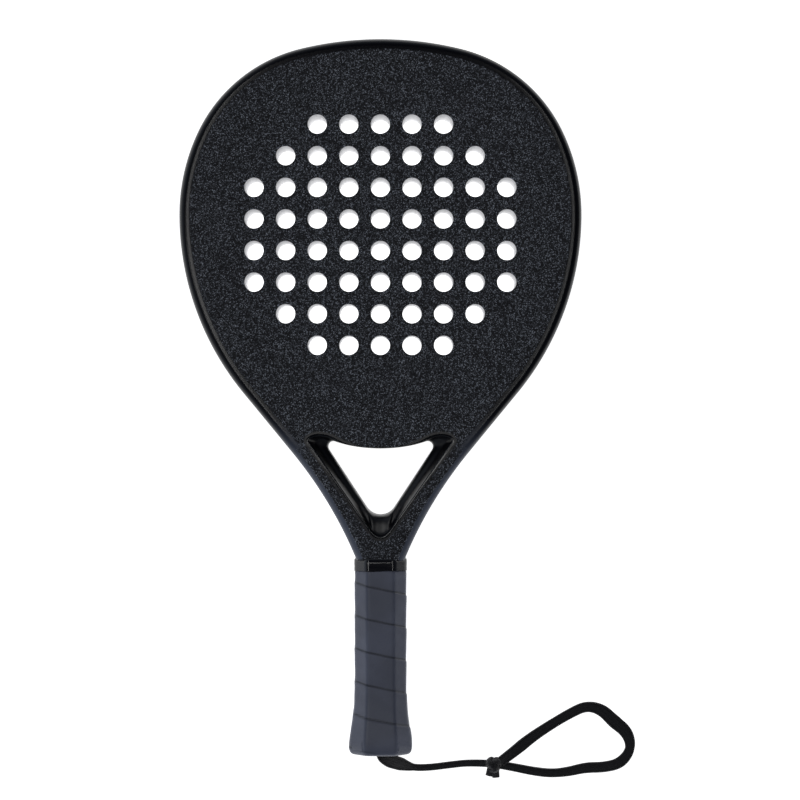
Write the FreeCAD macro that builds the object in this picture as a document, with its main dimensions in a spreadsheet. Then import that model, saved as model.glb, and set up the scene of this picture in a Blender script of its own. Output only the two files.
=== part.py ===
"""Padel racket, lying on its rear face: a parametric FreeCAD document.

The frame is a hollow composite hoop whose two ends run down as the arms of the throat and end as the
two legs inside the handle.  A bridge closes the head above the throat opening, a foam core fills the
head, and a laminated face is bonded into a rebate on each side.  Handle shells, a butt cap, a wrapped
grip and a finishing tape dress the legs, and a flat wrist cord comes out of the butt.

Millimetres.  X runs across the face, Y from the butt to the crown, Z up from the rear face to the front
face.  The origin is at mid length, on the axis of symmetry, on the plane that the rear face rests on.
"""
import FreeCAD, Part
import math
import os
import Sketcher
from FreeCAD import Vector

FRAME_SIZES = [
    ("overall_length", 455.0, "crown to butt end"),
    ("overall_width", 255.4, "across the widest part of the head"),
    ("overall_depth", 38.0, "rear face to front face"),
    ("crown_radius", 214.0, "outline arc over the crown"),
    ("shoulder_radius", 97.5, "outline arc between crown and side"),
    ("side_radius", 122.5, "outline arc down to the widest line"),
    ("flank_radius", 178.0, "outline arc below the widest line"),
    ("flank_straight", 48.5, "straight run from the flank to the throat"),
    ("throat_radius", 267.0, "hollow outline arc of the throat"),
    ("crown_to_widest", 111.5, "crown to the widest line"),
    ("crown_to_neck", 331.0, "crown to the end of the visible frame"),
    ("neck_width", 30.4, "frame width where the handle starts"),
    ("neck_depth", 29.0, "frame depth where the handle starts"),
    ("crown_to_taper", 255.0, "crown to where the frame starts to get thinner"),
    ("edge_radius", 6.0, "rounding along the outer edge of the frame"),
    ("tube_width", 14.0, "width of the hoop tube, across the face"),
    ("tube_wall", 1.3, "laminate thickness of the hoop tube"),
    ("crown_to_opening", 259.9, "crown to the middle of the opening's top edge"),
    ("bridge_tightness", 31.7, "top arc of the opening, tighter than half the width by this"),
    ("bridge_height", 14.0, "height of the bridge on the axis, core to opening"),
    ("core_floor_ease", 12.3, "bottom arc of the core, wider than half the width by this"),
    ("opening_height", 42.4, "throat opening along the axis"),
    ("opening_lean", 6.06, "degrees that an opening side is steeper than the flank"),
    ("opening_toe_radius", 10.4, "lower corner of the opening"),
    ("opening_corner_radius", 3.6, "upper corners of the opening"),
    ("scoop_shelf", 14.7, "scoop floor below the opening, along the axis"),
    ("scoop_lean", 4.46, "degrees that a scoop side is steeper than the flank"),
    ("scoop_toe_radius", 7.2, "lower corner of the scoop"),
    ("scoop_corner_radius", 4.5, "upper corners of the scoop"),
    ("scoop_depth", 8.0, "scoop floor below the face"),
    ("scoop_fillet", 4.2, "hollow rounding at the foot of the scoop wall"),
    ("lip_radius", 3.6, "rounding from the scoop floor into the opening"),
]
FACE_SIZES = [
    ("face_thickness", 0.8, "laminated hitting face"),
    ("face_lap", 6.0, "how far a face reaches onto the tube and the bridge"),
    ("core_corner_radius", 12.0, "lower corners of the head cavity"),
    ("hole_diameter", 12.2, "holes through the hitting surface"),
    ("hole_pitch", 20.0, "hole spacing, both ways"),
    ("crown_to_lowest_hole", 194.5, "crown to the lowest row of holes"),
]
HANDLE_SIZES = [
    ("leg_gap", 7.0, "foam between the two legs"),
    ("leg_block_width", 25.0, "across both legs"),
    ("leg_block_depth", 22.0, "legs, front to rear"),
    ("leg_bevel", 5.0, "outer corners of the legs"),
    ("leg_end_gap", 15.5, "leg ends to the butt end"),
    ("shell_thickness", 2.2, "moulded handle shell"),
    ("shell_bevel", 6.6, "outer corners of the shells"),
    ("grip_thickness", 1.8, "cushioned grip wrap"),
    ("grip_bevel", 8.0, "outer corners of the grip"),
    ("tape_length", 7.0, "finishing tape along the handle"),
    ("tape_thickness", 0.8, "finishing tape, all its turns"),
    ("tape_proud", 0.3, "tape above the grip beside it"),
    ("cap_floor", 3.0, "end wall of the butt cap"),
    ("knot_room_width", 14.0, "pocket for the anchor knot, across"),
    ("knot_room_depth", 12.0, "pocket for the anchor knot, front to rear"),
    ("slot_clearance", 0.5, "cord to cord slot, each side"),
    ("staple_width", 9.0, "staple crown length"),
    ("staple_wire", 1.0, "staple wire, square"),
    ("staple_leg", 5.0, "staple leg length"),
    ("staple_from_end", 21.0, "staples to the butt end"),
    ("anchor_knot_diameter", 10.0, "stop knot inside the cap"),
]
# The flare of the butt: distance from the butt end, and growth of the section on every side.
FLARE = [
    ("flare_start", 42.0, 0.0),
    ("flare_rise", 27.0, 0.8),
    ("flare_swell", 16.0, 2.4),
    ("flare_full", 9.0, 3.7),
    ("flare_brim", 3.6, 3.7),
    ("flare_turn", 1.0, 2.6),
    ("flare_end", 0.0, 0.6),
]
CORD_SIZES = [
    ("cord_width", 6.5, "flat braided cord, across"),
    ("cord_thickness", 2.0, "flat braided cord, through"),
    ("knot_width", 12.0, "wrist knot, across the cord"),
    ("knot_length", 11.0, "wrist knot, along the cord"),
    ("knot_height", 8.4, "wrist knot, above the table"),
]
# Hole rows from the throat to the crown, and how many holes each has.
HOLE_ROWS = (5, 7, 9, 9, 9, 9, 7, 5)
# How far a cutter starts outside the piece, how far a bore or a leg reaches into its neighbour, and how
# near two places have to be to count as the same.
MARGIN = 10.0
OVERLAP = 1.0
NEAR = 0.01
# A 45 degree corner gets this much shorter for each millimetre that its section is set back.
BEVEL_SHARE = 2 - math.sqrt(2)
# Each arc of the cord's centre line takes this share of the shorter run beside it.
ARC_SHARE = 0.45
# The wrist knot's corners are rounded by this share of its height.
KNOT_ROUNDING = 1 / 3
# Centre line of the cord, chosen point by point: from the anchor knot down to the table and to the wrist
# knot, and round the wrist loop back to the same knot.
LEG_ROUTE = [
    (0.0, -220.5, 19.0), (0.0, -228.8, 19.0), (4.2, -232.2, 16.8), (12.0, -235.6, 10.4),
    (21.0, -239.2, 3.2), (31.5, -239.4, 1.0), (44.5, -237.7, 1.0), (57.5, -236.2, 1.2),
    (69.5, -236.6, 2.6),
]
LOOP_ROUTE = [
    (76.5, -237.4, 2.4), (86.0, -239.2, 1.2), (97.5, -241.6, 1.0), (109.5, -243.2, 1.0),
    (121.0, -242.2, 1.0), (132.5, -239.4, 1.0), (144.5, -239.3, 1.0), (155.5, -236.6, 1.0),
    (162.2, -227.2, 1.0), (159.6, -216.6, 1.0), (150.6, -209.4, 1.0), (143.0, -201.8, 1.0),
    (132.8, -199.4, 1.0), (122.0, -204.6, 1.0), (109.5, -212.0, 1.0), (97.0, -220.3, 1.0),
    (86.5, -228.8, 1.8), (77.5, -235.0, 5.0),
]

doc = FreeCAD.newDocument("padel_racket")
sheet = doc.addObject("Spreadsheet::Sheet", "Sizes")


def fill_sheet():
    """Write every driving size as a plain number with an alias and a note."""
    rows = FRAME_SIZES + FACE_SIZES + HANDLE_SIZES + CORD_SIZES
    for name, from_end, growth in FLARE:
        rows.append((name + "_height", from_end, "distance from the butt end"))
        rows.append((name + "_growth", growth, "growth of the section on each side"))
    for number, (name, value, note) in enumerate(rows, start=1):
        sheet.set("A%d" % number, name)
        sheet.set("B%d" % number, str(value))
        sheet.setAlias("B%d" % number, name)
        sheet.set("C%d" % number, note)
    doc.recompute()


class Size:
    """A number together with the expression that binds it to the sheet."""

    def __init__(self, value, text):
        self.value = float(value)
        self.text = text

    @staticmethod
    def of(other):
        return other if isinstance(other, Size) else Size(other, repr(float(other)))

    def __add__(self, other):
        other = Size.of(other)
        return Size(self.value + other.value, "(%s + %s)" % (self.text, other.text))

    def __sub__(self, other):
        other = Size.of(other)
        return Size(self.value - other.value, "(%s - %s)" % (self.text, other.text))

    def __mul__(self, other):
        other = Size.of(other)
        return Size(self.value * other.value, "(%s * %s)" % (self.text, other.text))

    def __truediv__(self, other):
        other = Size.of(other)
        return Size(self.value / other.value, "(%s / %s)" % (self.text, other.text))

    def __neg__(self):
        return Size(-self.value, "(0 - %s)" % self.text)


def size(name):
    """The sheet's value of that name, as a Size."""
    return Size(getattr(sheet, name), "Sizes." + name)


fill_sheet()
NONE = Size(0.0, "0")
CROWN_Y = size("overall_length") / 2
BUTT_Y = -CROWN_Y
MID_Z = size("overall_depth") / 2
HALF_WIDTH = size("overall_width") / 2
WIDEST_Y = CROWN_Y - size("crown_to_widest")
NECK_Y = CROWN_Y - size("crown_to_neck")
BRIDGE_RADIUS = HALF_WIDTH - size("bridge_tightness")
BRIDGE_CENTRE_Y = CROWN_Y - size("crown_to_opening") + BRIDGE_RADIUS
CORE_FLOOR_RADIUS = HALF_WIDTH + size("core_floor_ease")
CORE_CENTRE_Y = CROWN_Y - size("crown_to_opening") + size("bridge_height") + CORE_FLOOR_RADIUS
OPENING_TOE_Y = CROWN_Y - size("crown_to_opening") - size("opening_height")
SCOOP_TOE_Y = OPENING_TOE_Y - size("scoop_shelf")
SHELL_WIDTH = size("leg_block_width") + size("shell_thickness") * 2
SHELL_DEPTH = size("leg_block_depth") + size("shell_thickness") * 2
HANDLE_TOP = -NECK_Y
LEG_END = CROWN_Y - size("leg_end_gap")


# ---------------------------------------------------------------- small geometry helpers
def unit(vector):
    return vector / vector.Length


def turned_right(vector):
    return Vector(vector.y, -vector.x, 0)


def circles_meet(centre_a, radius_a, centre_b, radius_b):
    """Both points at the two distances from the two centres, the one to the left of a->b first."""
    across = centre_b - centre_a
    along = (radius_a**2 - radius_b**2 + across.Length**2) / (2 * across.Length)
    off = math.sqrt(radius_a**2 - along**2)
    base = centre_a + unit(across) * along
    return base - turned_right(unit(across)) * off, base + turned_right(unit(across)) * off


class Layout:
    """Arc centres and joints of the right half of the frame outline, for an inset from the outer edge."""

    def __init__(self, inset):
        self.inset = inset
        value = {name: getattr(sheet, name) for name, number, note in FRAME_SIZES}
        d = inset.value
        half, widest = HALF_WIDTH.value, WIDEST_Y.value
        self.crown = Vector(0, CROWN_Y.value - value["crown_radius"], 0)
        self.side = Vector(half - value["side_radius"], widest, 0)
        self.flank = Vector(half - value["flank_radius"], widest, 0)
        neck = Vector(value["neck_width"] / 2, NECK_Y.value, 0)
        self.shoulder = max(circles_meet(
            self.crown, value["crown_radius"] - value["shoulder_radius"],
            self.side, value["side_radius"] - value["shoulder_radius"]), key=lambda point: point.x)
        span = value["flank_radius"] + value["throat_radius"]
        straight = value["flank_straight"]
        candidates = circles_meet(self.flank, math.hypot(span, straight), neck, value["throat_radius"])
        self.throat = max(candidates, key=lambda point: point.x)
        toward = unit(self.throat - self.flank)
        cosine, sine = span / math.hypot(span, straight), straight / math.hypot(span, straight)
        self.normal = toward * cosine - turned_right(toward) * sine
        self.downward = turned_right(self.normal)
        self.crown_r = value["crown_radius"] - d
        self.shoulder_r = value["shoulder_radius"] - d
        self.side_r = value["side_radius"] - d
        self.flank_r = value["flank_radius"] - d
        self.throat_r = value["throat_radius"] + d
        self.crown_joint = self.shoulder + unit(self.shoulder - self.crown) * self.shoulder_r
        self.shoulder_joint = self.side + unit(self.shoulder - self.side) * self.side_r
        self.side_joint = Vector(half - d, widest, 0)
        self.flank_joint = self.flank + self.normal * self.flank_r
        self.throat_joint = self.flank_joint + self.downward * straight
        end = (NECK_Y + inset).value
        self.neck = Vector(self.throat.x - math.sqrt(self.throat_r**2 - (end - self.throat.y)**2), end, 0)


def mirrored(point):
    return Vector(-point.x, point.y, point.z)


def origin_plane(body, role):
    return [feature for feature in body.Origin.OriginFeatures if feature.Role == role][0]


def new_body(label):
    body = doc.addObject("PartDesign::Body", label)
    body.Label = label
    return body


def bind(thing, path, amount):
    thing.setExpression(path, amount.text)


class Drawing:
    """A sketch on one of its body's origin planes, drawn as one closed chain of lines and arcs."""

    def __init__(self, body, name, role, lift=NONE, rise=NONE):
        make = body.newObject if body else doc.addObject
        self.sketch = make("Sketcher::SketchObject", name)
        if body:
            self.sketch.AttachmentSupport = [(origin_plane(body, role), "")]
            self.sketch.MapMode = "FlatFace"
            bind(self.sketch, "AttachmentOffset.Base.z", lift)
            bind(self.sketch, "AttachmentOffset.Base.y", rise)
        self.ends = []

    def line(self, start, finish):
        number = self.sketch.addGeometry(Part.LineSegment(start, finish), False)
        self.ends.append((number, 1, 2))
        return len(self.ends) - 1

    def arc(self, centre, radius, start, finish, left_turn=True):
        first, last = (start, finish) if left_turn else (finish, start)
        begin = math.atan2(first.y - centre.y, first.x - centre.x)
        end = math.atan2(last.y - centre.y, last.x - centre.x)
        if end < begin:
            end += 2 * math.pi
        circle = Part.Circle(centre, Vector(0, 0, 1), radius)
        number = self.sketch.addGeometry(Part.ArcOfCircle(circle, begin, end), False)
        self.ends.append((number, 1, 2) if left_turn else (number, 2, 1))
        return len(self.ends) - 1

    def add(self, kind, *where):
        return self.sketch.addConstraint(Sketcher.Constraint(kind, *where))

    def joint(self, first, second, smooth=True):
        a, b = self.ends[first], self.ends[second]
        self.add("Tangent" if smooth else "Coincident", a[0], a[2], b[0], b[1])

    def amount(self, kind, where, value):
        number = self.add(kind, *where, value.value)
        bind(self.sketch, "Constraints[%d]" % number, value)
        return number

    def radius(self, item, value):
        self.amount("Radius", (self.ends[item][0],), value)

    def place(self, item, position, x=None, y=None):
        """Dimension a centre (3) or an end of an item from the sketch origin."""
        number, start, finish = self.ends[item]
        where = {"centre": 3, "start": start, "finish": finish}[position]
        for kind, axis, value in (("DistanceX", -2, x), ("DistanceY", -1, y)):
            if value is NONE:
                self.add("PointOnObject", number, where, axis)
            elif value is not None:
                self.amount(kind, (-1, 1, number, where), value)

    def mirror_ends(self, right, left):
        """The start of the right item and the finish of the left one are mirror images."""
        a, b = self.ends[right], self.ends[left]
        self.add("Symmetric", a[0], a[1], b[0], b[2], -2)

    def same_radius(self, right, left):
        self.add("Equal", self.ends[right][0], self.ends[left][0])

    def on_axis(self, item):
        self.add("PointOnObject", self.ends[item][0], 3, -2)


def polygon(body, name, role, corners, lift=NONE, rise=NONE):
    """A closed polygon whose corners are pairs of sizes."""
    drawing = Drawing(body, name, role, lift, rise)
    points = [Vector(x.value, y.value, 0) for x, y in corners]
    for start, finish in zip(points, points[1:] + points[:1]):
        drawing.line(start, finish)
    for item, (x, y) in enumerate(corners):
        drawing.joint(item - 1 if item else len(corners) - 1, item, smooth=False)
        drawing.place(item, "start", Size.of(x), Size.of(y))
    return drawing.sketch


def start_upper_half(drawing, layout, first_item_start):
    """Flank, side, shoulder, crown and back down the other side; returns the item numbers in order."""
    flank = drawing.arc(layout.flank, layout.flank_r, layout.flank_joint, layout.side_joint)
    side = drawing.arc(layout.side, layout.side_r, layout.side_joint, layout.shoulder_joint)
    shoulder = drawing.arc(layout.shoulder, layout.shoulder_r, layout.shoulder_joint, layout.crown_joint)
    crown = drawing.arc(layout.crown, layout.crown_r, layout.crown_joint, mirrored(layout.crown_joint))
    far_shoulder = drawing.arc(mirrored(layout.shoulder), layout.shoulder_r,
                               mirrored(layout.crown_joint), mirrored(layout.shoulder_joint))
    far_side = drawing.arc(mirrored(layout.side), layout.side_r,
                           mirrored(layout.shoulder_joint), mirrored(layout.side_joint))
    far_flank = drawing.arc(mirrored(layout.flank), layout.flank_r,
                            mirrored(layout.side_joint), mirrored(layout.flank_joint))
    for before, after in ((first_item_start, flank), (flank, side), (side, shoulder), (shoulder, crown)):
        drawing.joint(before, after)
    for before, after in ((crown, far_shoulder), (far_shoulder, far_side), (far_side, far_flank)):
        drawing.joint(before, after, smooth=False)
    drawing.radius(crown, size("crown_radius") - layout.inset)
    drawing.radius(shoulder, size("shoulder_radius") - layout.inset)
    drawing.radius(side, size("side_radius") - layout.inset)
    drawing.radius(flank, size("flank_radius") - layout.inset)
    drawing.on_axis(crown)
    drawing.place(crown, "centre", y=CROWN_Y - size("crown_radius"))
    drawing.place(side, "centre", HALF_WIDTH - size("side_radius"), WIDEST_Y)
    drawing.place(flank, "centre", y=WIDEST_Y)
    number, start, finish = drawing.ends[crown]
    drawing.add("Horizontal", number, start, number, finish)
    for right, left in ((shoulder, far_shoulder), (side, far_side), (flank, far_flank)):
        drawing.mirror_ends(right, left)
        drawing.same_radius(right, left)
    return flank, far_flank


def frame_outline(body, name, inset=NONE, lift=NONE, master=None):
    """The whole outline from neck to crown and back; an inset copy follows the master's throat centre."""
    layout = Layout(inset)
    drawing = Drawing(body, name, "XY_Plane", lift)
    throat = drawing.arc(layout.throat, layout.throat_r, layout.neck, layout.throat_joint,
                         left_turn=False)
    straight = drawing.line(layout.throat_joint, layout.flank_joint)
    drawing.joint(throat, straight)
    flank, far_flank = start_upper_half(drawing, layout, straight)
    far_straight = drawing.line(mirrored(layout.flank_joint), mirrored(layout.throat_joint))
    far_throat = drawing.arc(mirrored(layout.throat), layout.throat_r,
                             mirrored(layout.throat_joint), mirrored(layout.neck), left_turn=False)
    end = drawing.line(mirrored(layout.neck), layout.neck)
    drawing.joint(far_flank, far_straight, smooth=False)
    drawing.joint(far_straight, far_throat, smooth=False)
    drawing.joint(far_throat, end, smooth=False)
    drawing.joint(end, throat, smooth=False)
    drawing.mirror_ends(straight, far_straight)
    drawing.mirror_ends(throat, far_throat)
    drawing.same_radius(throat, far_throat)
    drawing.radius(throat, size("throat_radius") + inset)
    if master is None:
        drawing.amount("Distance", (drawing.ends[straight][0],), size("flank_straight"))
        drawing.place(throat, "start", size("neck_width") / 2, NECK_Y)
        number = drawing.ends[throat][0]
        for title, kind, where in (
                ("throat_centre_x", "DistanceX", (-1, 1, number, 3)),
                ("throat_centre_y", "DistanceY", (-1, 1, number, 3)),
                ("flank_angle", "Angle", (drawing.ends[straight][0],))):
            value = {"throat_centre_x": layout.throat.x, "throat_centre_y": layout.throat.y,
                     "flank_angle": math.atan2(-layout.downward.y, -layout.downward.x)}[title]
            reference = drawing.add(kind, *where, value)
            drawing.sketch.setDriving(reference, False)
            drawing.sketch.renameConstraint(reference, title)
    else:
        for axis in ("x", "y"):
            text = "%s.Constraints.throat_centre_%s" % (master.Name, axis)
            drawing.place(throat, "centre", **{axis: Size(getattr(layout.throat, axis), text)})
        drawing.place(throat, "start", y=NECK_Y + inset)
    return drawing.sketch


def head_outline(body, name, master, inset, floor, corner, lift=NONE):
    """The head inside the hoop: the outline's upper half closed by a floor arc (centre, radius)."""
    centre_y, floor_radius = floor
    layout = Layout(inset)
    drawing = Drawing(body, name, "XY_Plane", lift)
    centre = Vector(0, centre_y.value, 0)
    # The corner's centre lies one corner radius inside both the straight flank and the floor arc.
    inner = layout.flank_joint - layout.normal * corner.value - centre
    along = inner.dot(layout.downward)
    reach = floor_radius.value - corner.value
    step = -along + math.sqrt(along**2 - inner.dot(inner) + reach**2)
    corner_centre = centre + inner + layout.downward * step
    straight_end = corner_centre + layout.normal * corner.value
    floor_end = centre + unit(corner_centre - centre) * floor_radius.value
    floor = drawing.arc(centre, floor_radius.value, mirrored(floor_end), floor_end)
    turn = drawing.arc(corner_centre, corner.value, floor_end, straight_end)
    straight = drawing.line(straight_end, layout.flank_joint)
    drawing.joint(floor, turn)
    drawing.joint(turn, straight)
    flank, far_flank = start_upper_half(drawing, layout, straight)
    far_straight = drawing.line(mirrored(layout.flank_joint), mirrored(straight_end))
    far_turn = drawing.arc(mirrored(corner_centre), corner.value,
                           mirrored(straight_end), mirrored(floor_end))
    drawing.joint(far_flank, far_straight, smooth=False)
    drawing.joint(far_straight, far_turn, smooth=False)
    drawing.joint(far_turn, floor, smooth=False)
    drawing.mirror_ends(straight, far_straight)
    drawing.same_radius(turn, far_turn)
    drawing.radius(floor, floor_radius)
    drawing.radius(turn, corner)
    drawing.on_axis(floor)
    drawing.place(floor, "centre", y=centre_y)
    number, start, finish = drawing.ends[floor]
    drawing.add("Horizontal", number, start, number, finish)
    angle = math.atan2(-layout.downward.y, -layout.downward.x)
    text = "%s.Constraints.flank_angle" % master.Name
    drawing.amount("Angle", (drawing.ends[straight][0],), Size(angle, text))
    return drawing.sketch


def bridge_floor(growth):
    """The arc along the top of the throat opening, grown downward."""
    return BRIDGE_CENTRE_Y, BRIDGE_RADIUS + growth


def core_floor(growth):
    """The arc along the bottom of the core, grown downward."""
    return CORE_CENTRE_Y, CORE_FLOOR_RADIUS + growth


def core_outline(body, name, master, growth, lift):
    """The foam core's outline, grown on every side."""
    return head_outline(body, name, master, size("tube_width") - growth, core_floor(growth),
                        size("core_corner_radius") + growth, lift)


def face_outline(body, name, master, lift):
    """A hitting face: the core's outline grown by the lap."""
    return core_outline(body, name, master, size("face_lap"), lift)


def throat_outline(body, name, master, top_radius, toe_y, toe_radius, lean, corner, lift=NONE):
    """A rounded triangle under the bridge: sagging top arc, two straight sides and a round toe.

    Its sides are steeper than the master outline's flank by the lean.
    """
    drawing = Drawing(body, name, "XY_Plane", lift)
    centre = Vector(0, BRIDGE_CENTRE_Y.value, 0)
    flank = Layout(NONE).downward
    rise = math.atan2(-flank.y, -flank.x) + math.radians(lean.value)
    outward = Vector(math.sin(rise), -math.cos(rise), 0)
    upward = Vector(math.cos(rise), math.sin(rise), 0)
    toe_centre = Vector(0, toe_y.value + toe_radius.value, 0)
    toe_end = toe_centre + outward * toe_radius.value
    inner = toe_end - outward * corner.value - centre
    along = inner.dot(upward)
    reach = top_radius.value + corner.value
    # The top arc sags into the opening, so the corner's centre lies outside its circle.
    step = -along - math.sqrt(along**2 - inner.dot(inner) + reach**2)
    if step < 0:
        step = -along + math.sqrt(along**2 - inner.dot(inner) + reach**2)
    corner_centre = centre + inner + upward * step
    side_end = corner_centre + outward * corner.value
    top_end = centre + unit(corner_centre - centre) * top_radius.value
    toe = drawing.arc(toe_centre, toe_radius.value, mirrored(toe_end), toe_end)
    side = drawing.line(toe_end, side_end)
    turn = drawing.arc(corner_centre, corner.value, side_end, top_end)
    top = drawing.arc(centre, top_radius.value, top_end, mirrored(top_end), left_turn=False)
    far_turn = drawing.arc(mirrored(corner_centre), corner.value,
                           mirrored(top_end), mirrored(side_end))
    far_side = drawing.line(mirrored(side_end), mirrored(toe_end))
    for before, after in ((toe, side), (side, turn), (turn, top)):
        drawing.joint(before, after)
    for before, after in ((top, far_turn), (far_turn, far_side), (far_side, toe)):
        drawing.joint(before, after, smooth=False)
    drawing.mirror_ends(turn, far_turn)
    drawing.same_radius(turn, far_turn)
    for item, radius in ((toe, toe_radius), (turn, corner), (top, top_radius)):
        drawing.radius(item, radius)
    drawing.on_axis(toe)
    drawing.place(toe, "centre", y=toe_y + toe_radius)
    drawing.on_axis(top)
    drawing.place(top, "centre", y=BRIDGE_CENTRE_Y)
    for item in (toe, top):
        number, start, finish = drawing.ends[item]
        drawing.add("Horizontal", number, start, number, finish)
    text = "%s.Constraints.flank_angle + %s * 1 deg" % (master.Name, lean.text)
    drawing.amount("Angle", (drawing.ends[side][0],), Size(rise, text))
    return drawing.sketch


# ---------------------------------------------------------------- features
def pad(body, sketch, name, length, other_way=False):
    feature = body.newObject("PartDesign::Pad", name)
    feature.Profile = sketch
    bind(feature, "Length", length)
    feature.Reversed = other_way
    return feature


def pocket(body, sketch, name, length, other_way=False):
    feature = body.newObject("PartDesign::Pocket", name)
    feature.Profile = sketch
    bind(feature, "Length", length)
    feature.Reversed = other_way
    return feature


def fillet(body, name, radius, chosen):
    """Round the edges of the body's tip for which chosen(edge) is true."""
    doc.recompute()
    base = body.Tip
    names = ["Edge%d" % (number + 1) for number, edge in enumerate(base.Shape.Edges) if chosen(edge)]
    feature = body.newObject("PartDesign::Fillet", name)
    feature.Base = (base, names)
    bind(feature, "Radius", radius)
    return feature


def samples(edge, count=5):
    first, last = edge.FirstParameter, edge.LastParameter
    return [edge.valueAt(first + (last - first) * step / (count - 1)) for step in range(count)]


def cut_away(label, base, tools):
    """Base minus the tools; the tools stay as pieces of their own."""
    for number, tool in enumerate(tools):
        last = number == len(tools) - 1
        result = doc.addObject("Part::Cut", label if last else "%s_cut_%d" % (label, number))
        result.Base, result.Tool = base, tool
        result.Label = label if last else "%s_cut_%d" % (label, number)
        result.Refine = False
        base = result
    return base


THROUGH = size("overall_depth") + MARGIN * 2
BELOW = NONE - MARGIN
ABOVE = size("overall_depth") + MARGIN


def taper_sketch(body, name, sign, inset):
    """Side view of what the throat loses on one face: a long arc from the flat face to the neck."""
    drawing = Drawing(body, name, "YZ_Plane")
    start_y = CROWN_Y - size("crown_to_taper")
    drop = (size("overall_depth") - size("neck_depth")) / 2
    run = start_y - NECK_Y
    radius = (run * run + drop * drop) / (drop * 2)
    face = MID_Z + (MID_Z - inset) * sign
    neck = MID_Z + (MID_Z - drop - inset) * sign
    away = face + MARGIN * sign
    centre = Vector(start_y.value, face.value - radius.value * sign, 0)
    top = Vector(start_y.value, face.value, 0)
    low = Vector(NECK_Y.value, neck.value, 0)
    arc = drawing.arc(centre, radius.value, top, low, left_turn=sign > 0)
    beyond = NECK_Y - MARGIN
    neck_line = drawing.line(low, Vector(beyond.value, neck.value, 0))
    rise = drawing.line(Vector(beyond.value, neck.value, 0), Vector(beyond.value, away.value, 0))
    over = drawing.line(Vector(beyond.value, away.value, 0), Vector(start_y.value, away.value, 0))
    close = drawing.line(Vector(start_y.value, away.value, 0), top)
    for before, after in ((arc, neck_line), (neck_line, rise), (rise, over), (over, close), (close, arc)):
        drawing.joint(before, after, smooth=False)
    drawing.place(arc, "start", start_y, face)
    drawing.place(arc, "finish", NECK_Y, neck)
    drawing.place(arc, "centre", x=start_y)
    drawing.place(rise, "start", beyond, neck)
    drawing.place(over, "start", beyond, away)
    drawing.place(close, "start", start_y, away)
    return drawing.sketch


def frame_block(body, inset, master=None):
    """Outer shape of the hoop, arms and neck, inset on every side, with its rounded outer edge."""
    outline = frame_outline(body, body.Label + "_outline", inset, lift=inset, master=master)
    pad(body, outline, body.Label + "_blank", size("overall_depth") - inset * 2)
    for sign, side in ((1, "front"), (-1, "rear")):
        sketch = taper_sketch(body, "%s_%s_taper" % (body.Label, side), sign, inset)
        cutter = pocket(body, sketch, "%s_%s_thinning" % (body.Label, side), size("overall_width") * 2)
        cutter.Midplane = True
    lost = (size("overall_depth") - size("neck_depth")) / 2
    lowest_rim = (MID_Z - inset - lost - OVERLAP).value

    def outer_edge(edge):
        points = samples(edge)
        at_neck = all(abs(point.y - (NECK_Y + inset).value) < NEAR for point in points)
        on_rim = all(abs(point.z - MID_Z.value) > lowest_rim for point in points)
        straight_across = points[0].y < WIDEST_Y.value and all(
            abs(point.y - points[0].y) < NEAR for point in points)
        return on_rim and not at_neck and not straight_across
    fillet(body, body.Label + "_edge_round", size("edge_radius") - inset, outer_edge)
    return outline


def leg_corners(clear=NONE):
    """Section of the right leg: flat against the foam, bevelled outside."""
    inner = size("leg_gap") / 2 + clear
    outer = size("leg_block_width") / 2 - clear
    deep = size("leg_block_depth") / 2 - clear
    bevel = size("leg_bevel") - clear * BEVEL_SHARE
    return [(inner, -deep), (outer - bevel, -deep), (outer, bevel - deep),
            (outer, deep - bevel), (outer - bevel, deep), (inner, deep)]


def add_legs(body, clear, top, length):
    for side, sign in (("right", 1), ("left", -1)):
        corners = [(x * sign, z) for x, z in leg_corners(clear)]
        name = "%s_%s_leg" % (body.Label, side)
        sketch = polygon(body, name, "XZ_Plane", corners, lift=top, rise=MID_Z)
        pad(body, sketch, name + "_pad", length)


def rectangle(half_width, half_depth):
    return [(half_width, -half_depth), (half_width, half_depth),
            (-half_width, half_depth), (-half_width, -half_depth)]


def octagon(half_width, half_depth, bevel):
    return [(half_width, bevel - half_depth), (half_width, half_depth - bevel),
            (half_width - bevel, half_depth), (bevel - half_width, half_depth),
            (-half_width, half_depth - bevel), (-half_width, bevel - half_depth),
            (bevel - half_width, -half_depth), (half_width - bevel, -half_depth)]


# ---------------------------------------------------------------- frame
def round_scoops(body):
    """Hollow rounding at the foot of each scoop wall, and a round lip into the opening."""
    half_floor = MID_Z.value - size("scoop_depth").value

    def on_toe(toe_y):
        def chosen(edge):
            points = samples(edge)
            level = all(abs(abs(point.z - MID_Z.value) - half_floor) < NEAR for point in points)
            return level and abs(min(point.y for point in points) - toe_y.value) < NEAR
        return chosen
    fillet(body, "scoop_foot_round", size("scoop_fillet"), on_toe(SCOOP_TOE_Y))
    fillet(body, "opening_lip_round", size("lip_radius"), on_toe(OPENING_TOE_Y))


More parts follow.
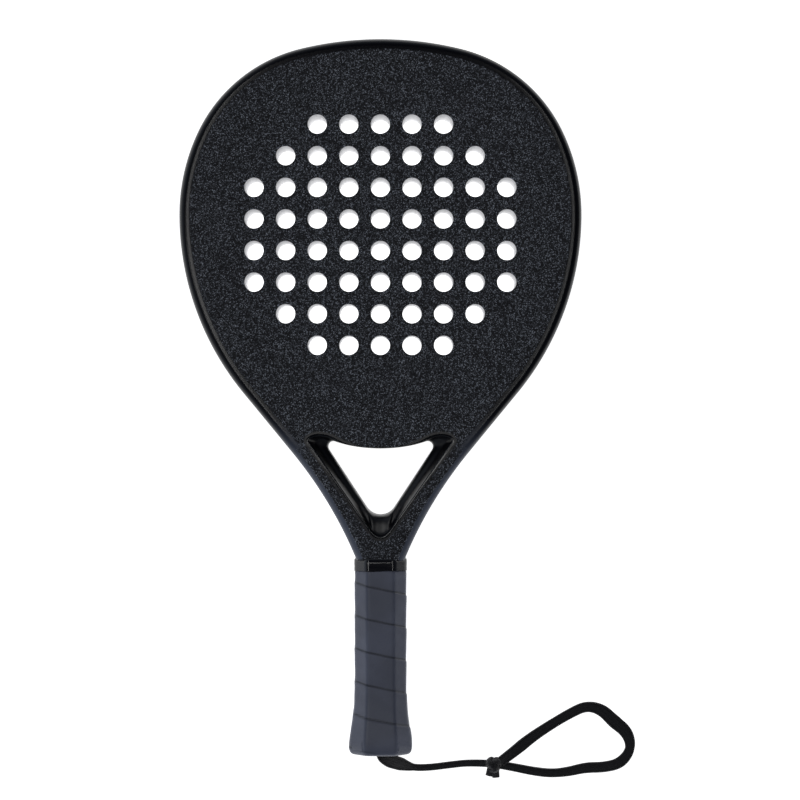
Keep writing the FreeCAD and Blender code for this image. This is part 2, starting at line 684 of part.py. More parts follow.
def make_hoop_shell():
    """The hoop, arms and handle legs before the foam space is taken out of them."""
    body = new_body("hoop_shell")
    outline = frame_block(body, NONE)
    cavity = head_outline(body, "hoop_cavity", outline, size("tube_width"), bridge_floor(NONE),
                          size("core_corner_radius"), lift=ABOVE)
    pocket(body, cavity, "hoop_cavity_cut", THROUGH)
    opening = throat_outline(body, "throat_opening", outline, BRIDGE_RADIUS, OPENING_TOE_Y,
                             size("opening_toe_radius"), size("opening_lean"),
                             size("opening_corner_radius"), lift=ABOVE)
    pocket(body, opening, "throat_opening_cut", THROUGH)
    for side, lift, upward in (("front", ABOVE, False), ("rear", BELOW, True)):
        scoop = throat_outline(body, side + "_scoop", outline, BRIDGE_RADIUS, SCOOP_TOE_Y,
                               size("scoop_toe_radius"), size("scoop_lean"),
                               size("scoop_corner_radius"), lift=lift)
        pocket(body, scoop, side + "_scoop_cut", size("scoop_depth") + MARGIN, other_way=upward)
        seat = face_outline(body, "hoop_%s_seat" % side, outline, lift)
        pocket(body, seat, "hoop_%s_rebate" % side, size("face_thickness") + MARGIN, other_way=upward)
    round_scoops(body)
    add_legs(body, NONE, HANDLE_TOP - OVERLAP, LEG_END - HANDLE_TOP + OVERLAP)
    return body, outline


def make_hoop_foam(master):
    """Foam inside the hoop tube, the arms and the legs, one wall inside the laminate."""
    wall = size("tube_wall")
    body = new_body("frame_foam")
    frame_block(body, wall, master)
    cavity = head_outline(body, "foam_cavity", master, size("tube_width") - wall, bridge_floor(wall),
                          size("core_corner_radius") + wall, lift=ABOVE)
    pocket(body, cavity, "foam_cavity_cut", THROUGH)
    clear = throat_outline(body, "foam_throat", master, BRIDGE_RADIUS - wall, SCOOP_TOE_Y - wall,
                           size("scoop_toe_radius") + wall, size("scoop_lean"),
                           size("scoop_corner_radius") + wall, lift=ABOVE)
    pocket(body, clear, "foam_throat_cut", THROUGH)
    add_legs(body, wall, HANDLE_TOP - wall * 2, LEG_END - HANDLE_TOP + wall * 2)
    return body


def make_bridge(master):
    """The bridge between the arms: the strip of the cavity below the core, rebated for both faces."""
    body = new_body("bridge_shell")
    cavity = head_outline(body, "bridge_outline", master, size("tube_width"), bridge_floor(NONE),
                          size("core_corner_radius"))
    pad(body, cavity, "bridge_blank", size("overall_depth"))
    core = core_outline(body, "bridge_core_side", master, NONE, ABOVE)
    pocket(body, core, "bridge_core_cut", THROUGH)
    for side, lift, upward in (("front", ABOVE, False), ("rear", BELOW, True)):
        seat = face_outline(body, "bridge_%s_seat" % side, master, lift)
        pocket(body, seat, "bridge_%s_rebate" % side, size("face_thickness") + MARGIN, other_way=upward)
    return body


def make_bridge_foam(master):
    """Foam strip inside the bridge, one wall inside it all round."""
    wall = size("tube_wall")
    lift = size("face_thickness") + wall
    body = new_body("bridge_foam")
    outline = head_outline(body, "bridge_foam_outline", master, size("tube_width") + wall,
                           bridge_floor(-wall), size("core_corner_radius") - wall, lift)
    pad(body, outline, "bridge_foam_blank", size("overall_depth") - lift * 2)
    clear = head_outline(body, "bridge_foam_core_side", master, size("tube_width") - wall * 2,
                         core_floor(wall), size("core_corner_radius") + wall, ABOVE)
    pocket(body, clear, "bridge_foam_cut", THROUGH)
    return body


# ---------------------------------------------------------------- hitting surface
def make_hole_pins():
    """One pin for every hole, as a single extrusion of circles."""
    drawing = Drawing(None, "hole_circles", "XY_Plane")
    radius = size("hole_diameter") / 2
    lowest = CROWN_Y - size("crown_to_lowest_hole")
    for row, count in enumerate(HOLE_ROWS):
        y = lowest + size("hole_pitch") * row
        for column in range(count):
            x = size("hole_pitch") * (column - (count - 1) / 2)
            circle = Part.Circle(Vector(x.value, y.value, 0), Vector(0, 0, 1), radius.value)
            number = drawing.sketch.addGeometry(circle, False)
            drawing.ends.append((number, 1, 2))
            item = len(drawing.ends) - 1
            drawing.place(item, "centre", NONE if abs(x.value) < NEAR else x, y)
            if item:
                drawing.add("Equal", drawing.ends[0][0], number)
            else:
                drawing.radius(item, radius)
    bind(drawing.sketch, "Placement.Base.z", BELOW)
    pins = doc.addObject("Part::Extrusion", "hole_pins")
    pins.Base = drawing.sketch
    pins.DirMode = "Custom"
    pins.Dir = Vector(0, 0, 1)
    bind(pins, "LengthFwd", THROUGH)
    pins.Solid = True
    return pins


def make_plate(label, outline, lift, thickness, pins):
    """A layer of the hitting surface, with its holes."""
    body = new_body(label + "_blank")
    pad(body, outline(body, lift), label + "_pad", thickness)
    return cut_away(label, body, [pins])


# ---------------------------------------------------------------- handle
def sleeve_sketch(body, name, growth, bevel, distance):
    """An octagon across the handle, grown out from the shells' section, at a distance from the origin."""
    corners = octagon(SHELL_WIDTH / 2 + growth, SHELL_DEPTH / 2 + growth, bevel)
    return polygon(body, name, "XZ_Plane", corners, lift=distance, rise=MID_Z)


def make_leg_foam():
    """Foam strip between the two legs."""
    body = new_body("handle_foam")
    corners = rectangle(size("leg_gap") / 2, size("leg_block_depth") / 2)
    sketch = polygon(body, "handle_foam_section", "XZ_Plane", corners, lift=HANDLE_TOP, rise=MID_Z)
    pad(body, sketch, "handle_foam_pad", LEG_END - HANDLE_TOP)
    return body


def make_handle_shell(label, sign):
    """Half of the moulded sleeve that gives the legs their octagonal outside."""
    body = new_body(label + "_blank")
    wide, deep, bevel = SHELL_WIDTH / 2, SHELL_DEPTH / 2, size("shell_bevel")
    inner, low, corner = size("leg_block_width") / 2, size("leg_block_depth") / 2, size("leg_bevel")
    corners = [(wide, NONE), (wide, deep - bevel), (wide - bevel, deep), (bevel - wide, deep),
               (-wide, deep - bevel), (-wide, NONE), (-inner, NONE), (-inner, low - corner),
               (corner - inner, low), (inner - corner, low), (inner, low - corner), (inner, NONE)]
    corners = [(x, z if z is NONE else z * sign) for x, z in corners]
    sketch = polygon(body, label + "_section", "XZ_Plane", corners, lift=HANDLE_TOP, rise=MID_Z)
    pad(body, sketch, label + "_pad", LEG_END - HANDLE_TOP)
    return body


def flare_sections(body, title, names, extra, bevel):
    """Octagons down the flare: the shell's own section grown by each step and by an extra thickness."""
    sketches = []
    for name in names:
        growth = size(name + "_growth")
        sketches.append(sleeve_sketch(body, "%s_%s" % (title, name), growth + extra,
                                      bevel + growth * BEVEL_SHARE, CROWN_Y - size(name + "_height")))
    return sketches


def loft(body, kind, name, sketches):
    feature = body.newObject("PartDesign::" + kind, name)
    feature.Profile = sketches[0]
    feature.Sections = sketches[1:]
    feature.Ruled = True
    return feature


CAP_STEPS = ["flare_rise", "flare_swell", "flare_full", "flare_brim"]


def cap_outside(body, kind, title):
    """The butt cap's outer shape, which is also the inside of the grip over it."""
    sketches = flare_sections(body, title, CAP_STEPS, NONE, size("shell_bevel"))
    sketches.append(sleeve_sketch(body, title + "_end", NONE, size("shell_bevel"), CROWN_Y))
    return loft(body, kind, title + "_loft", sketches)


def make_butt_cap():
    """Cap over the end of the handle, with room for the anchor knot and a slot for the cord."""
    body = new_body("butt_cap_blank")
    cap_outside(body, "AdditiveLoft", "cap")
    top = CROWN_Y - size("flare_rise_height")
    bore = sleeve_sketch(body, "cap_bore", NONE, size("shell_bevel"), top - OVERLAP)
    pocket(body, bore, "cap_bore_cut", LEG_END - top + OVERLAP, other_way=True)
    corners = rectangle(size("knot_room_width") / 2, size("knot_room_depth") / 2)
    room = polygon(body, "cap_knot_room", "XZ_Plane", corners, lift=LEG_END - OVERLAP, rise=MID_Z)
    depth = size("leg_end_gap") - size("cap_floor") + OVERLAP
    pocket(body, room, "cap_knot_room_cut", depth, other_way=True)
    corners = rectangle(size("cord_width") / 2 + size("slot_clearance"),
                        size("cord_thickness") / 2 + size("slot_clearance"))
    slot = polygon(body, "cap_slot", "XZ_Plane", corners, lift=LEG_END, rise=MID_Z)
    pocket(body, slot, "cap_slot_cut", size("leg_end_gap") + MARGIN, other_way=True)
    return body


def make_grip():
    """Cushioned grip wrap: from the neck, thinner under the finishing tape, down over the flared cap."""
    body = new_body("grip_blank")
    thick = size("grip_thickness")
    sunk = size("tape_thickness") - size("tape_proud")
    tape_end = HANDLE_TOP + size("tape_length")
    top = sleeve_sketch(body, "grip_top", thick - sunk, size("grip_bevel"), HANDLE_TOP)
    pad(body, top, "grip_top_pad", size("tape_length"))
    first = sleeve_sketch(body, "grip_first", thick, size("grip_bevel"), tape_end)
    steps = [name for name, height, growth in FLARE]
    loft(body, "AdditiveLoft", "grip_loft",
         [first] + flare_sections(body, "grip", steps, thick, size("grip_bevel")))
    bore = sleeve_sketch(body, "grip_bore", NONE, size("shell_bevel"), HANDLE_TOP - OVERLAP)
    depth = CROWN_Y - size("flare_rise_height") - HANDLE_TOP + OVERLAP
    pocket(body, bore, "grip_bore_cut", depth, other_way=True)
    cap_outside(body, "SubtractiveLoft", "grip_cap_side")
    return body


def make_tape():
    """Finishing tape round the top end of the grip."""
    body = new_body("grip_finishing_tape")
    inside = size("grip_thickness") - size("tape_thickness") + size("tape_proud")
    outside = inside + size("tape_thickness")
    rings = []
    for title, growth, start in (("outside", outside, 0), ("inside", inside, OVERLAP)):
        rings.append(sleeve_sketch(body, "tape_" + title, growth, size("grip_bevel"), HANDLE_TOP - start))
    pad(body, rings[0], "tape_pad", size("tape_length"))
    pocket(body, rings[1], "tape_bore_cut", size("tape_length") + OVERLAP * 2, other_way=True)
    return body


def make_staples():
    """Two staples through the skirt of the cap, front and rear."""
    wide, wire, leg = size("staple_width") / 2, size("staple_wire"), size("staple_leg")
    outside = SHELL_DEPTH / 2 + size("flare_rise_growth")
    distance = CROWN_Y - size("staple_from_end")
    bodies = []
    for side, sign in (("front", 1), ("rear", -1)):
        body = new_body("staple_" + side)
        top, under, tip = outside + wire, outside, outside + wire - leg
        corners = [(wide, tip), (wide, top), (-wide, top), (-wide, tip), (wire - wide, tip),
                   (wire - wide, under), (wide - wire, under), (wide - wire, tip)]
        corners = [(x, z * sign) for x, z in corners]
        sketch = polygon(body, "staple_%s_bend" % side, "XZ_Plane", corners, lift=distance, rise=MID_Z)
        pad(body, sketch, "staple_%s_pad" % side, wire)
        bodies.append(body)
    group = doc.addObject("Part::Compound", "butt_cap_staples")
    group.Label = "butt_cap_staples"
    group.Links = bodies
    return group


# ---------------------------------------------------------------- wrist cord
def rounded_path(route):
    """Straight runs joined by tangent arcs as large as the runs allow; prints each arc's radius."""
    points = [Vector(*point) for point in route]
    edges, start, radii = [], points[0], []
    for before, corner, after in zip(points, points[1:], points[2:]):
        arriving, leaving = unit(corner - before), unit(after - corner)
        reach = ARC_SHARE * min((corner - before).Length, (after - corner).Length)
        half_turn = arriving.getAngle(leaving) / 2
        radius = reach / math.tan(half_turn)
        first, last = corner - arriving * reach, corner + leaving * reach
        inward = unit(leaving - arriving)
        middle = corner + inward * (radius / math.cos(half_turn) - radius)
        edges.append(Part.LineSegment(start, first).toShape())
        edges.append(Part.Arc(first, middle, last).toShape())
        radii.append(round(radius, 1))
        start = last
    edges.append(Part.LineSegment(start, points[-1]).toShape())
    print("cord radii:", radii)
    return Part.Wire(edges)


def make_strap(label, route):
    """A flat cord swept along its route, its width always level."""
    path = rounded_path(route)
    begin = Vector(*route[0])
    forward = unit(Vector(*route[1]) - begin)
    across = unit(forward.cross(Vector(0, 0, 1))) * (size("cord_width").value / 2)
    through = unit(across.cross(forward)) * (size("cord_thickness").value / 2)
    corners = [begin + across + through, begin - across + through,
               begin - across - through, begin + across - through]
    sweep = Part.BRepOffsetAPI.MakePipeShell(path)
    sweep.setBiNormalMode(Vector(0, 0, 1))
    sweep.add(Part.makePolygon(corners + corners[:1]))
    sweep.build()
    sweep.makeSolid()
    strap = doc.addObject("Part::Feature", label)
    strap.Label = label
    strap.Shape = sweep.shape()
    expected = path.Length * size("cord_width").value * size("cord_thickness").value
    ratio = strap.Shape.Volume / expected
    print(label, "length %.1f, volume over section times length %.3f" % (path.Length, ratio))
    return strap


def make_wrist_knot(straps):
    """The knot that closes the wrist loop: a rounded block round the cord's three ends."""
    block = doc.addObject("Part::Box", "wrist_knot_block")
    bind(block, "Length", size("knot_length"))
    bind(block, "Width", size("knot_width"))
    bind(block, "Height", size("knot_height"))
    middle = (Vector(*LEG_ROUTE[-1]) + Vector(*LOOP_ROUTE[0])) / 2
    block.Placement.Base = Vector(middle.x - size("knot_length").value / 2,
                                  middle.y - size("knot_width").value / 2, 0)
    doc.recompute()
    rounded = doc.addObject("Part::Fillet", "wrist_knot_round")
    rounded.Base = block
    radius = size("knot_height").value * KNOT_ROUNDING
    rounded.Edges = [(number + 1, radius, radius) for number in range(len(block.Shape.Edges))]
    return cut_away("wrist_cord_knot", rounded, straps)


def make_anchor_knot(strap):
    """Stop knot on the cord, pulled against the end wall inside the cap."""
    ball = doc.addObject("Part::Sphere", "anchor_knot_ball")
    bind(ball, "Radius", size("anchor_knot_diameter") / 2)
    bind(ball, "Placement.Base.y", BUTT_Y + size("cap_floor") + size("anchor_knot_diameter") / 2)
    bind(ball, "Placement.Base.z", MID_Z)
    return cut_away("cord_anchor_knot", ball, [strap])


def build():
    """Every sub-part, in the order in which the racket is put together."""
    shell, master = make_hoop_shell()
    frame_foam = make_hoop_foam(master)
    bridge_foam = make_bridge_foam(master)
    staples = make_staples()
    pieces = [cut_away("frame_hoop", shell, [frame_foam, staples]), frame_foam]
    pieces += [cut_away("throat_bridge", make_bridge(master), [bridge_foam]), bridge_foam]

    pins = make_hole_pins()
    face = size("face_thickness")
    pieces.append(make_plate(
        "foam_core", lambda body, lift: core_outline(body, "core_outline", master, NONE, lift),
        face, size("overall_depth") - face * 2, pins))
    for label, lift in (("front_face", size("overall_depth") - face), ("rear_face", NONE)):
        pieces.append(make_plate(
            label, lambda body, lift: face_outline(body, body.Label + "_outline", master, lift),
            lift, face, pins))

    leg = make_strap("wrist_cord_leg", LEG_ROUTE)
    loop = make_strap("wrist_cord_loop", LOOP_ROUTE)
    pieces.append(make_leg_foam())
    for label, sign in (("handle_shell_front", 1), ("handle_shell_rear", -1)):
        pieces.append(cut_away(label, make_handle_shell(label, sign), [staples]))
    pieces.append(cut_away("butt_cap", make_butt_cap(), [staples]))
    pieces.append(staples)
    pieces.append(cut_away("base_grip", make_grip(), [staples]))
    pieces += [make_tape(), make_anchor_knot(leg), leg, loop, make_wrist_knot([leg, loop])]
    return pieces


def write_parts(pieces):
    """Check every object of the document, then write each piece as a STEP file named by its label."""
    doc.recompute()
    failed = [item.Label for item in doc.Objects if "Invalid" in item.State or "Error" in item.State]
    if failed:
        raise RuntimeError("failed objects: " + ", ".join(failed))
    for piece in pieces:
        if piece.Shape.isNull() or not piece.Shape.isValid():
            raise RuntimeError("bad shape: " + piece.Label)
    os.makedirs("parts", exist_ok=True)
    for piece in pieces:
        piece.Shape.exportStep("parts/%s.step" % piece.Label)
        box = piece.Shape.BoundBox
        print("%-22s %2d solids %9.0f mm3  x %.1f..%.1f  y %.1f..%.1f  z %.1f..%.1f" % (
            piece.Label, len(piece.Shape.Solids), piece.Shape.Volume,
            box.XMin, box.XMax, box.YMin, box.YMax, box.ZMin, box.ZMax))


write_parts(build())
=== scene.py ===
"""Looks of a padel racket: lacquered frame and faces, white foam core, wrapped grip and braided wrist cord.

The script is laid out as an add-on: property groups hold the sizes and colours, one operator makes each
group of pieces, and the panel lists them.  Metres throughout; X across the face, Y from the butt to the
crown, Z up from the rear face to the front face.
"""
import math

import bmesh
import bpy
import numpy as np
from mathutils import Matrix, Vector
from mathutils.geometry import delaunay_2d_cdt


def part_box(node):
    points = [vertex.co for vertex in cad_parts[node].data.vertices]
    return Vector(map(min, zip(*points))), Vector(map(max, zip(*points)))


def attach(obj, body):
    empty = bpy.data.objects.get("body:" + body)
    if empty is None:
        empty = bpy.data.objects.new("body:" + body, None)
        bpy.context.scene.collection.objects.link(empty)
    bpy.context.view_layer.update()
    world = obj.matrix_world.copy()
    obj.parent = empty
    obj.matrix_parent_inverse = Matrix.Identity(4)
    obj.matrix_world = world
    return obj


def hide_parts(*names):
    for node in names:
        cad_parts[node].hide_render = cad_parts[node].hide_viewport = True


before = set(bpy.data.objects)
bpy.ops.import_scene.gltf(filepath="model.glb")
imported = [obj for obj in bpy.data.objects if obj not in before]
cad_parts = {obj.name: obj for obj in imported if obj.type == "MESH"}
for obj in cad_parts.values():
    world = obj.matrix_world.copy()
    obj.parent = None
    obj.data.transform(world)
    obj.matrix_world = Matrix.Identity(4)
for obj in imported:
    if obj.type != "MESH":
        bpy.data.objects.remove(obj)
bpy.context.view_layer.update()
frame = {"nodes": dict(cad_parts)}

bl_info = {
    "name": "Padel Racket",
    "version": (1, 0, 0),
    "blender": (4, 5, 0),
    "location": "View3D > Sidebar > Racket",
    "description": "Builds the visible pieces of a padel racket round its fixed frame",
    "category": "Add Mesh",
}

MM = 0.001
BODY = "root"
# The place along the racket where the strip lights stand and aim, in metres.
LIGHTS_ALONG = 0.05

# Hole rows from the throat to the crown, and how many holes each has.
HOLE_ROWS = (5, 7, 9, 9, 9, 9, 7, 5)
# The cord's centre line, point by point, in millimetres: from the anchor knot to the wrist knot, and round
# the wrist loop; the fourth number is how wide the flat cord lies there.
LEG_ROUTE = (
    (0.0, -220.5, 19.0, 6.5), (0.0, -228.8, 19.0, 7.6), (4.2, -232.2, 16.8, 9.2), (12.0, -235.6, 10.4, 8.6),
    (21.0, -239.2, 3.2, 4.6), (31.5, -239.4, 1.0, 4.5), (44.5, -237.7, 1.0, 4.5), (57.5, -236.2, 1.2, 4.5),
    (69.5, -236.6, 2.6, 4.8),
)
LOOP_ROUTE = (
    (76.5, -237.4, 2.4, 5.2), (86.0, -239.2, 1.2, 5.6), (97.5, -241.6, 1.0, 5.8), (109.5, -243.2, 1.0, 5.8),
    (121.0, -242.2, 1.0, 6.4), (132.5, -239.4, 1.0, 7.0), (144.5, -239.3, 1.0, 7.0),
    (155.5, -236.6, 1.0, 7.2), (162.2, -227.2, 1.0, 6.2), (159.6, -216.6, 1.0, 8.0),
    (150.6, -209.4, 1.0, 8.8), (143.0, -201.8, 1.0, 8.0), (132.8, -199.4, 1.0, 6.8),
    (122.0, -204.6, 1.0, 6.6), (109.5, -212.0, 1.0, 6.4), (97.0, -220.3, 1.0, 6.8),
    (86.5, -228.8, 1.8, 7.6), (77.5, -235.0, 5.0, 6.6),
)
# The flare of the butt: distance from the butt end and growth of the section, in millimetres.
FLARE = ((42.0, 0.0), (27.0, 0.8), (16.0, 2.4), (9.0, 3.7), (3.6, 3.7), (1.0, 2.6), (0.0, 0.6))
# Brow of the scoop, from the axis over its rounded tip to the straight side, as spline controls.
SCOOP_BROW = ((0.0, -31.7), (13.0, -31.7), (24.5, -28.4), (31.5, -24.3), (38.4, -22.9), (44.6, -24.1),
              (47.4, -27.2))
# The same as FLARE for the hollow inside the grip, where it lies over the shells and the cap.
CAP_FLARE = ((27.0, 0.8), (16.0, 2.4), (9.0, 3.7), (3.6, 3.7), (0.0, 0.0))


def length(name, description, millimetres):
    return bpy.props.FloatProperty(
        name=name, description=description, default=millimetres * MM, unit="LENGTH", precision=5)


def degrees(name, description, value):
    return bpy.props.FloatProperty(
        name=name, description=description, default=math.radians(value), subtype="ANGLE")


def linear(hex_colour):
    """An sRGB hex colour as linear red, green and blue."""
    parts = [int(hex_colour[i:i + 2], 16) / 255 for i in (1, 3, 5)]
    return tuple(p / 12.92 if p <= 0.04045 else ((p + 0.055) / 1.055) ** 2.4 for p in parts)


def paint(name, description, hex_colour):
    return bpy.props.FloatVectorProperty(
        name=name, description=description, default=linear(hex_colour), subtype="COLOR",
        size=3, min=0.0, max=1.0)


class FrameSizes(bpy.types.PropertyGroup):
    """Driving sizes of the lacquered frame."""
    overall_length: length("Length", "Crown to butt end", 455.0)
    overall_width: length("Width", "Across the widest part of the head", 255.4)
    overall_depth: length("Depth", "Rear face to front face", 38.0)
    crown_radius: length("Crown radius", "Outline arc over the crown", 214.0)
    shoulder_radius: length("Shoulder radius", "Outline arc between crown and side", 97.5)
    side_radius: length("Side radius", "Outline arc down to the widest line", 122.5)
    flank_radius: length("Flank radius", "Outline arc below the widest line", 178.0)
    flank_straight: length("Flank straight", "Straight run from the flank to the throat", 48.5)
    throat_radius: length("Throat radius", "Hollow outline arc of the throat", 267.0)
    crown_to_widest: length("Crown to widest", "Crown to the widest line", 111.5)
    crown_to_neck: length("Crown to neck", "Crown to the end of the visible frame", 331.0)
    neck_width: length("Neck width", "Frame width where the handle starts", 30.4)
    neck_depth: length("Neck depth", "Frame depth where the handle starts", 29.0)
    crown_to_taper: length("Crown to taper", "Crown to where the frame starts to get thinner", 255.0)
    edge_radius: length("Edge radius", "Rounding along the outer edge", 6.0)
    tube_width: length("Tube width", "Hoop tube, across the face", 14.0)
    crown_to_opening: length("Crown to opening", "Crown to the middle of the opening's top edge", 259.9)
    bridge_tightness: length("Bridge tightness", "Opening's top arc, tighter than half the width", 31.7)
    bridge_height: length("Bridge height", "Bridge on the axis, core to opening", 14.0)
    core_floor_ease: length("Core floor ease", "Core's bottom arc, wider than half the width", 12.3)
    core_corner_radius: length("Core corner radius", "Lower corners of the head cavity", 12.0)
    leg_gap: length("Leg gap", "Foam between the two legs", 7.0)
    leg_block_width: length("Leg block width", "Across both legs", 25.0)
    leg_block_depth: length("Leg block depth", "Legs, front to rear", 22.0)
    leg_bevel: length("Leg bevel", "Outer corners of the legs", 5.0)
    leg_end_gap: length("Leg end gap", "Leg ends to the butt end", 15.5)


class ThroatSizes(bpy.types.PropertyGroup):
    """Sizes of the throat opening and of the scoop round it."""
    opening_height: length("Opening height", "Along the axis", 42.4)
    opening_lean: degrees("Opening lean", "How much steeper than the flank its sides are", 6.06)
    opening_toe_radius: length("Opening toe", "Lower corner", 10.4)
    opening_corner_radius: length("Opening corners", "Upper corners", 3.6)
    scoop_shelf: length("Scoop shelf", "Scoop below the opening, along the axis", 14.7)
    scoop_lean: degrees("Scoop lean", "How much steeper than the flank its sides are", 4.46)
    scoop_toe_radius: length("Scoop toe", "Lower corner", 7.2)
    scoop_depth: length("Scoop depth", "Hollow below the face", 8.4)
    bowl_radius: length("Bowl radius", "Hollow of the scoop's toe, across the axis", 21.0)
    arm_softness: length("Arm softness", "Outer rounding of the arms, wider than the head's", 3.0)


class FaceSizes(bpy.types.PropertyGroup):
    """Sizes of the hitting faces and their holes."""
    face_thickness: length("Face thickness", "Laminated hitting face", 0.8)
    face_lap: length("Face lap", "Face over tube and bridge", 6.0)
    hole_diameter: length("Hole diameter", "Through the hitting surface", 12.2)
    hole_pitch: length("Hole pitch", "Spacing, both ways", 20.0)
    crown_to_lowest_hole: length("Crown to lowest hole", "Down to the lowest row", 194.5)
    hole_round: length("Hole rounding", "Paint-rounded hole edge", 0.45)


class HandleSizes(bpy.types.PropertyGroup):
    """Sizes of the grip, the collar and the cord."""
    shell_width: length("Shell width", "Across the handle shells", 29.4)
    shell_depth: length("Shell depth", "Shells, front to rear", 26.4)
    shell_bevel: length("Shell bevel", "Outer corners of the shells", 6.6)
    grip_thickness: length("Grip thickness", "Cushioned wrap", 1.8)
    grip_bevel: length("Grip bevel", "Outer corners of the grip", 8.0)
    grip_corner: length("Grip corner", "Rounding of the wrapped corners", 3.4)
    wrap_pitch: length("Wrap pitch", "Seam to seam along the handle", 20.9)
    wrap_start: length("Wrap start", "First seam to the butt end, at the front", 1.4)
    wrap_step: length("Wrap step", "Strip edge over the strip below", 0.42)
    wrap_groove: length("Wrap groove", "Depth of the seam", 0.26)
    tape_length: length("Tape length", "Finishing tape along the handle", 7.0)
    tape_thickness: length("Tape thickness", "All its turns", 0.8)
    tape_proud: length("Tape proud", "Above the grip beside it", 0.3)
    cord_width: length("Cord width", "Flat braided cord, across", 6.5)
    cord_thickness: length("Cord thickness", "Flat braided cord, through", 2.0)


class Colours(bpy.types.PropertyGroup):
    """Finishes."""
    lacquer: paint("Lacquer", "Blue-black epoxy lacquer", "#06070e")
    # Painted sheen: the arms' lacquer is blue-black too; this lighter slate stands in for the light their
    # rounded sides reflect.
    lacquer_smooth: paint("Satin lacquer", "Satin lacquer along the arms", "#474d5c")
    # Lit grains: partly the grit's own lighter tone, partly painted glints of the light the grains catch.
    lacquer_sand: paint("Sand grains", "Lit grains in the sanded lacquer", "#a0a6b2")
    foam: paint("Core foam", "White closed-cell foam", "#fafafb")
    grip: paint("Grip", "Slate polyurethane wrap", "#525665")
    tape: paint("Tape", "Black vinyl tape", "#101017")
    cord: paint("Cord", "Black braided polyester", "#18171c")
    plastic: paint("Plastic", "Moulded black plastic", "#1b1b1f")
    steel: paint("Steel", "Galvanised staple wire", "#b9bcc0")
    floor: paint("Floor", "Plain white floor", "#ffffff")


class RacketSettings(bpy.types.PropertyGroup):
    """Everything a user would change."""
    frame: bpy.props.PointerProperty(type=FrameSizes, name="Frame", description="Frame sizes")
    throat: bpy.props.PointerProperty(type=ThroatSizes, name="Throat", description="Throat sizes")
    face: bpy.props.PointerProperty(type=FaceSizes, name="Face", description="Face sizes")
    handle: bpy.props.PointerProperty(type=HandleSizes, name="Handle", description="Handle sizes")
    colours: bpy.props.PointerProperty(type=Colours, name="Colours", description="Finishes")


# ---------------------------------------------------------------- numbers on curves
def unit(vector):
    return vector / np.linalg.norm(vector)


def right_of(vector):
    return np.array([vector[1], -vector[0]])


def meeting_points(centre_a, radius_a, centre_b, radius_b):
    """Both points at the two distances from the two centres."""
    across = centre_b - centre_a
    gap = np.linalg.norm(across)
    along = (radius_a**2 - radius_b**2 + gap**2) / (2 * gap)
    side = right_of(unit(across)) * math.sqrt(radius_a**2 - along**2)
    base = centre_a + unit(across) * along
    return base - side, base + side


def angle_of(vector):
    return math.atan2(vector[1], vector[0])


def arc(centre, radius, begin, end, count):
    """Centre plus radius times (cos, sin) of evenly spaced angles, the end angle left out."""
    angles = np.linspace(begin, end, count, endpoint=False)
    return centre + radius * np.stack([np.cos(angles), np.sin(angles)], 1)


def line(start, finish, count):
    """Evenly spaced points from start to finish, the finish left out."""
    steps = np.linspace(0.0, 1.0, count, endpoint=False)[:, None]
    return start + (finish - start) * steps


def bspline(controls, samples, closed=False):
    """Quadratic B-spline of the controls (axis 0): each span is the blend (1-t)^2/2, 1/2+t-t^2, t^2/2 of
    three controls in a row.  An open spline repeats its end controls, so it starts and ends on them."""
    c = np.asarray(controls, float)
    if closed:
        c = np.concatenate([c, c[:2]])
    else:
        c = np.concatenate([2 * c[:1] - c[1:2], c, 2 * c[-1:] - c[-2:-1]])
    t = np.linspace(0.0, 1.0, samples, endpoint=False).reshape((1, samples) + (1,) * (c.ndim - 1))
    a, b, d = c[:-2][:, None], c[1:-1][:, None], c[2:][:, None]
    spans = a * (1 - t) ** 2 / 2 + b * (0.5 + t - t * t) + d * t * t / 2
    points = spans.reshape((-1,) + c.shape[1:])
    if closed:
        return points
    return np.concatenate([points, (c[-2:-1] + c[-1:]) / 2])


def resample(points, count):
    """Points evenly spaced along a line, the line's last point left out."""
    distance = np.concatenate([[0.0], np.cumsum(np.linalg.norm(np.diff(points, axis=0), axis=1))])
    places = np.linspace(0.0, distance[-1], count, endpoint=False)
    return np.stack([np.interp(places, distance, points[:, axis]) for axis in range(2)], 1)


def smooth_step(low, high, value):
    t = np.clip((value - low) / (high - low), 0.0, 1.0)
    return t * t * (3 - 2 * t)


